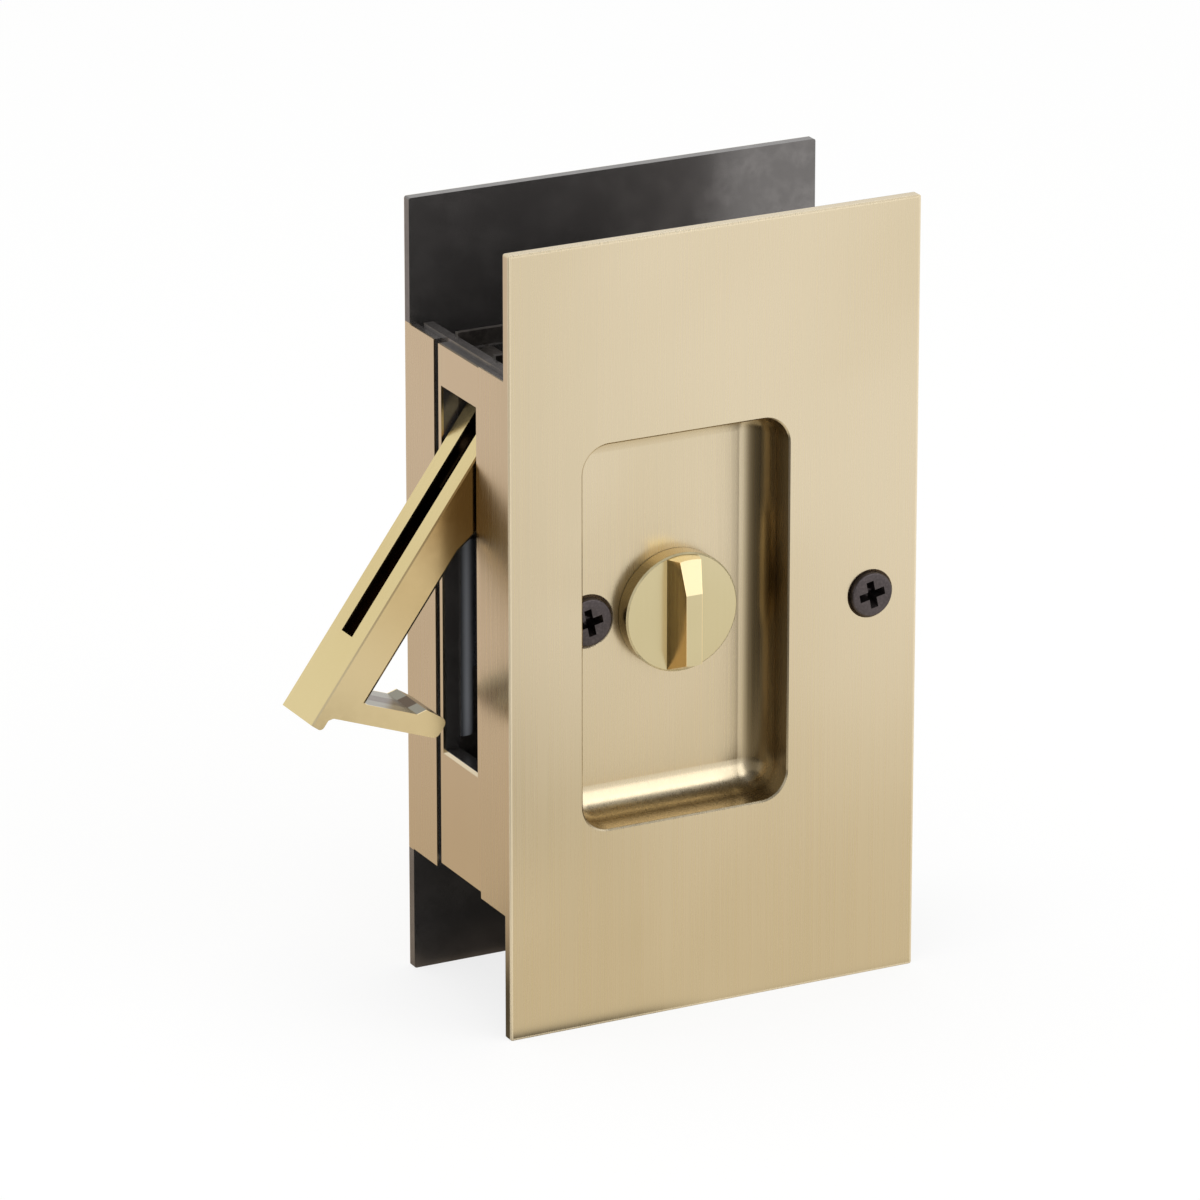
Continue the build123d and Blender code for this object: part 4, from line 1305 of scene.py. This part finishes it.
@dataclass
class StudioFloor:
    """Pale floor: white to the camera, with the part's shadow, and shaded in reflections."""

    size: float = 8.0
    paint: Colour = (0.9, 0.9, 0.89)
    glow: float = 0.8
    middle: Triple = (0.03, 0.0, 0.0)
    near: Pair = (0.04, 0.3)
    near_tint: Colour = (0.78, 0.72, 0.6)
    under: Pair = (PLATE_X, 0.0)
    under_half: Pair = (PLATE_HALF_W, -PLATE_LOW.y)
    under_blur: Pair = (-0.006, 0.003)
    shade: float = 0.12
    front_y: Pair = (-0.024, -0.0195)
    sweep_start: Pair = (0.085, 0.13)
    deepest: Pair = (0.1, 0.21)
    deepen: float = 1.6
    sweep: tuple[tuple[float, Colour], ...] = (
        (-180.0, (0.12, 0.112, 0.1)),
        (-159.0, (0.12, 0.112, 0.1)),
        (-139.0, (0.16, 0.152, 0.138)),
        (-122.0, (0.27, 0.26, 0.24)),
        (-103.0, (0.44, 0.43, 0.41)),
        (-86.0, (0.78, 0.775, 0.76)),
        (-70.0, (1.0, 1.0, 1.0)),
        (40.0, (1.0, 1.0, 1.0)),
        (90.0, (0.86, 0.79, 0.74)),
        (120.0, (0.735, 0.64, 0.595)),
        (145.0, (0.8, 0.72, 0.67)),
        (160.0, (0.4, 0.36, 0.33)),
        (175.0, (0.12, 0.112, 0.1)),
    )

    def build(self, floor_z: float) -> None:
        """Lay the floor.

        Args:
            floor_z: Height of the part's lowest point.
        """
        Bench.clear()
        bpy.ops.mesh.primitive_plane_add(size=self.size, location=(0.0, 0.0, floor_z))
        floor = bpy.context.object
        floor.name = "studio_floor"
        material = bpy.data.materials.new("studio_floor")
        sheet = NodeSheet.fresh(material)
        rays = StudioRays(sheet)
        paint = sheet.add("ShaderNodeBsdfDiffuse", {"Color": (*self.paint, 1.0)})
        white = sheet.add("ShaderNodeEmission", {"Color": (*WHITE, 1.0)})
        colour = sheet.blend(1.0, self._swept(sheet), self._shaded(sheet), MixMode.MULTIPLY)
        image = sheet.add("ShaderNodeEmission", {"Color": colour})
        lit = sheet.math("MULTIPLY", rays.camera, self.glow)
        seen = sheet.add("ShaderNodeMixShader", {0: lit, 1: paint.outputs[0], 2: white.outputs[0]})
        mixed = sheet.add("ShaderNodeMixShader", {0: rays.mirrored, 1: seen.outputs[0], 2: image.outputs[0]})
        sheet.add("ShaderNodeOutputMaterial", {"Surface": mixed.outputs[0]})
        floor.data.materials.append(material)
        floor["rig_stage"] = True

    def _swept(self, sheet: NodeSheet) -> Socket:
        """Colour of the floor in reflections: dark to the left, warm near the part.

        Args:
            sheet: Node tree of the floor's material.

        Returns:
            The colour's socket.
        """
        centred = sheet.add("ShaderNodeVectorMath", {0: sheet.place(), 1: self.middle}, operation="SUBTRACT")
        turn = sheet.add("ShaderNodeTexGradient", {"Vector": centred.outputs[0]}, gradient_type="RADIAL")
        ramp = sheet.add("ShaderNodeValToRGB", {"Fac": turn.outputs["Fac"]})
        stops = ramp.color_ramp.elements
        (_, first), *others = self.sweep
        for end in (stops[0], stops[1]):
            end.color = (*first, 1.0)
        for angle, colour in others:
            stops.new(angle / FULL_TURN_DEG + 0.5).color = (*colour, 1.0)
        length = sheet.add("ShaderNodeVectorMath", {0: centred.outputs[0]}, operation="LENGTH")
        away = length.outputs["Value"]
        tint = sheet.blend(sheet.spread(away, *self.near), self.near_tint, WHITE)
        front = sheet.spread(sheet.axes(centred.outputs[0])["Y"], *self.front_y, 1.0, 0.0)
        close = sheet.spread(away, *self.deepest, self.deepen, 0.0)
        gamma = sheet.math("MULTIPLY_ADD", close, front, 1.0)
        deep = sheet.add("ShaderNodeGamma", {"Color": ramp.outputs["Color"], "Gamma": gamma})
        inner = sheet.spread(away, *self.sweep_start, 1.0, 0.0)
        swept = sheet.blend(sheet.both(inner, front), deep.outputs[0], WHITE)
        return sheet.blend(1.0, swept, tint, MixMode.MULTIPLY)

    def _shaded(self, sheet: NodeSheet) -> Socket:
        """Shade of the floor beneath the part, as a factor.

        Args:
            sheet: Node tree of the floor's material.

        Returns:
            The factor's socket.
        """
        axes = sheet.axes()
        past = [
            sheet.math("SUBTRACT", sheet.gap(axes[axis], middle), half)
            for axis, middle, half in zip("XY", self.under, self.under_half)
        ]
        return sheet.spread(sheet.either(*past), *self.under_blur, self.shade, 1.0)


@dataclass
class StudioWorld:
    """White surroundings for the camera, softer ones for light, darker to the front left in reflections."""

    fill: float = 0.75
    mirror: float = 0.95
    dusk: float = 0.84
    dusk_way: Pair = (-0.8, -0.6)
    dusk_from: Pair = (0.2, 0.75)
    dusk_rise: Pair = (0.5, 0.62)
    front: float = 0.47
    front_from: Pair = (-0.5, -0.2)
    front_rise: Pair = (0.45, 0.7)
    overhead: float = 0.78
    overhead_rise: Pair = (0.7, 0.84)

    def build(self) -> None:
        """Make the world and set it."""
        world = bpy.data.worlds.new("studio")
        bpy.context.scene.world = world
        sheet = NodeSheet.fresh(world)
        rays = StudioRays(sheet)
        mirrored = sheet.math("MULTIPLY", self.mirror, sheet.math("SUBTRACT", 1.0, self._shade(sheet)))
        plain = sheet.between(rays.camera, self.fill, 1.0)
        brighter = sheet.math("SUBTRACT", mirrored, plain)
        level = sheet.math("MULTIPLY_ADD", brighter, rays.mirrored, plain)
        background = sheet.add("ShaderNodeBackground", {"Color": (*WHITE, 1.0), "Strength": level})
        sheet.add("ShaderNodeOutputWorld", {"Surface": background.outputs[0]})

    def _shade(self, sheet: NodeSheet) -> Socket:
        """How much darker than white each direction is in reflections.

        Args:
            sheet: Node tree of the world.

        Returns:
            The shade's socket.
        """
        axes = sheet.axes(sheet.add("ShaderNodeTexCoord").outputs["Generated"])
        to_x, to_y = self.dusk_way
        toward = sheet.math("MULTIPLY_ADD", axes["X"], to_x, sheet.math("MULTIPLY", axes["Y"], to_y))
        dusk = sheet.spread(toward, *self.dusk_from, 0.0, self.dusk)
        front = sheet.spread(axes["Y"], *self.front_from, self.front, 0.0)
        return sheet.either(
            sheet.both(dusk, sheet.spread(axes["Z"], *self.dusk_rise)),
            sheet.both(front, sheet.spread(axes["Z"], *self.front_rise, 1.0, 0.0)),
            sheet.spread(axes["Z"], *self.overhead_rise, 0.0, self.overhead),
        )


@dataclass(frozen=True)
class SoftLamp:
    """Soft lamp that faces the part."""

    name: str
    place: Triple
    size: Pair
    watts: float
    mirrored: bool

    def build(self) -> None:
        """Add the lamp."""
        Bench.clear()
        bpy.ops.object.light_add(type="AREA", location=self.place)
        lamp = bpy.context.object
        lamp.name = self.name
        lamp.rotation_euler = (-Vector(self.place)).to_track_quat("-Z", "Y").to_euler()
        lamp.data.shape = "RECTANGLE"
        lamp.data.size, lamp.data.size_y = self.size
        lamp.data.energy = self.watts
        lamp.visible_glossy = self.mirrored


@dataclass
class Studio:
    """Pale floor, soft surroundings and two lamps."""

    lamps: tuple[SoftLamp, ...] = (
        SoftLamp("front_softbox", (0.76, -1.49, 0.78), (1.8, 1.7), watts=11.5, mirrored=True),
        SoftLamp("top_softbox", (-0.2, -0.1, 1.7), (1.6, 1.6), watts=12.0, mirrored=False),
    )

    def build(self, floor_z: float) -> None:
        """Build the studio round the part.

        Args:
            floor_z: Height of the part's lowest point.
        """
        StudioFloor().build(floor_z)
        StudioWorld().build()
        for lamp in self.lamps:
            lamp.build()


@dataclass
class PhotoCamera:
    """Long lens at the photograph's viewing angle."""

    place: Triple = (-0.5819, -1.1876, 0.4732)
    aim: Triple = (0.0268, 0.0, -0.0007)
    lens: float = 251.8
    sensor: float = 36.0

    def build(self) -> None:
        """Add the camera and make it the scene's own."""
        Bench.clear()
        bpy.ops.object.camera_add(location=self.place)
        camera = bpy.context.object
        way = Vector(self.aim) - Vector(self.place)
        camera.rotation_euler = way.to_track_quat("-Z", "Y").to_euler()
        camera.data.lens = self.lens
        camera.data.sensor_width = self.sensor
        bpy.context.scene.camera = camera


def main() -> None:
    """Build and dress the part, then set up the studio and the camera."""
    logging.basicConfig(level=logging.INFO, format="%(name)s: %(message)s")
    cad_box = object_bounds()
    bpy.context.scene.view_settings.view_transform = "Standard"
    book = FinishBook()
    book.build()
    pull = EdgePull()
    pull.build(book)
    turns = Turns()
    turns.build(book)
    fixings = Fixings()
    fixings.build(book)
    for group in (Plates(), EdgeFront(), CaseBox(), pull, BoltDrive(), turns, fixings):
        group.dress(book)
        LOG.info("dressed %s", type(group).__name__)
    Studio().build(cad_box[0].z)
    PhotoCamera().build()


if __name__ == "__main__":
    main()
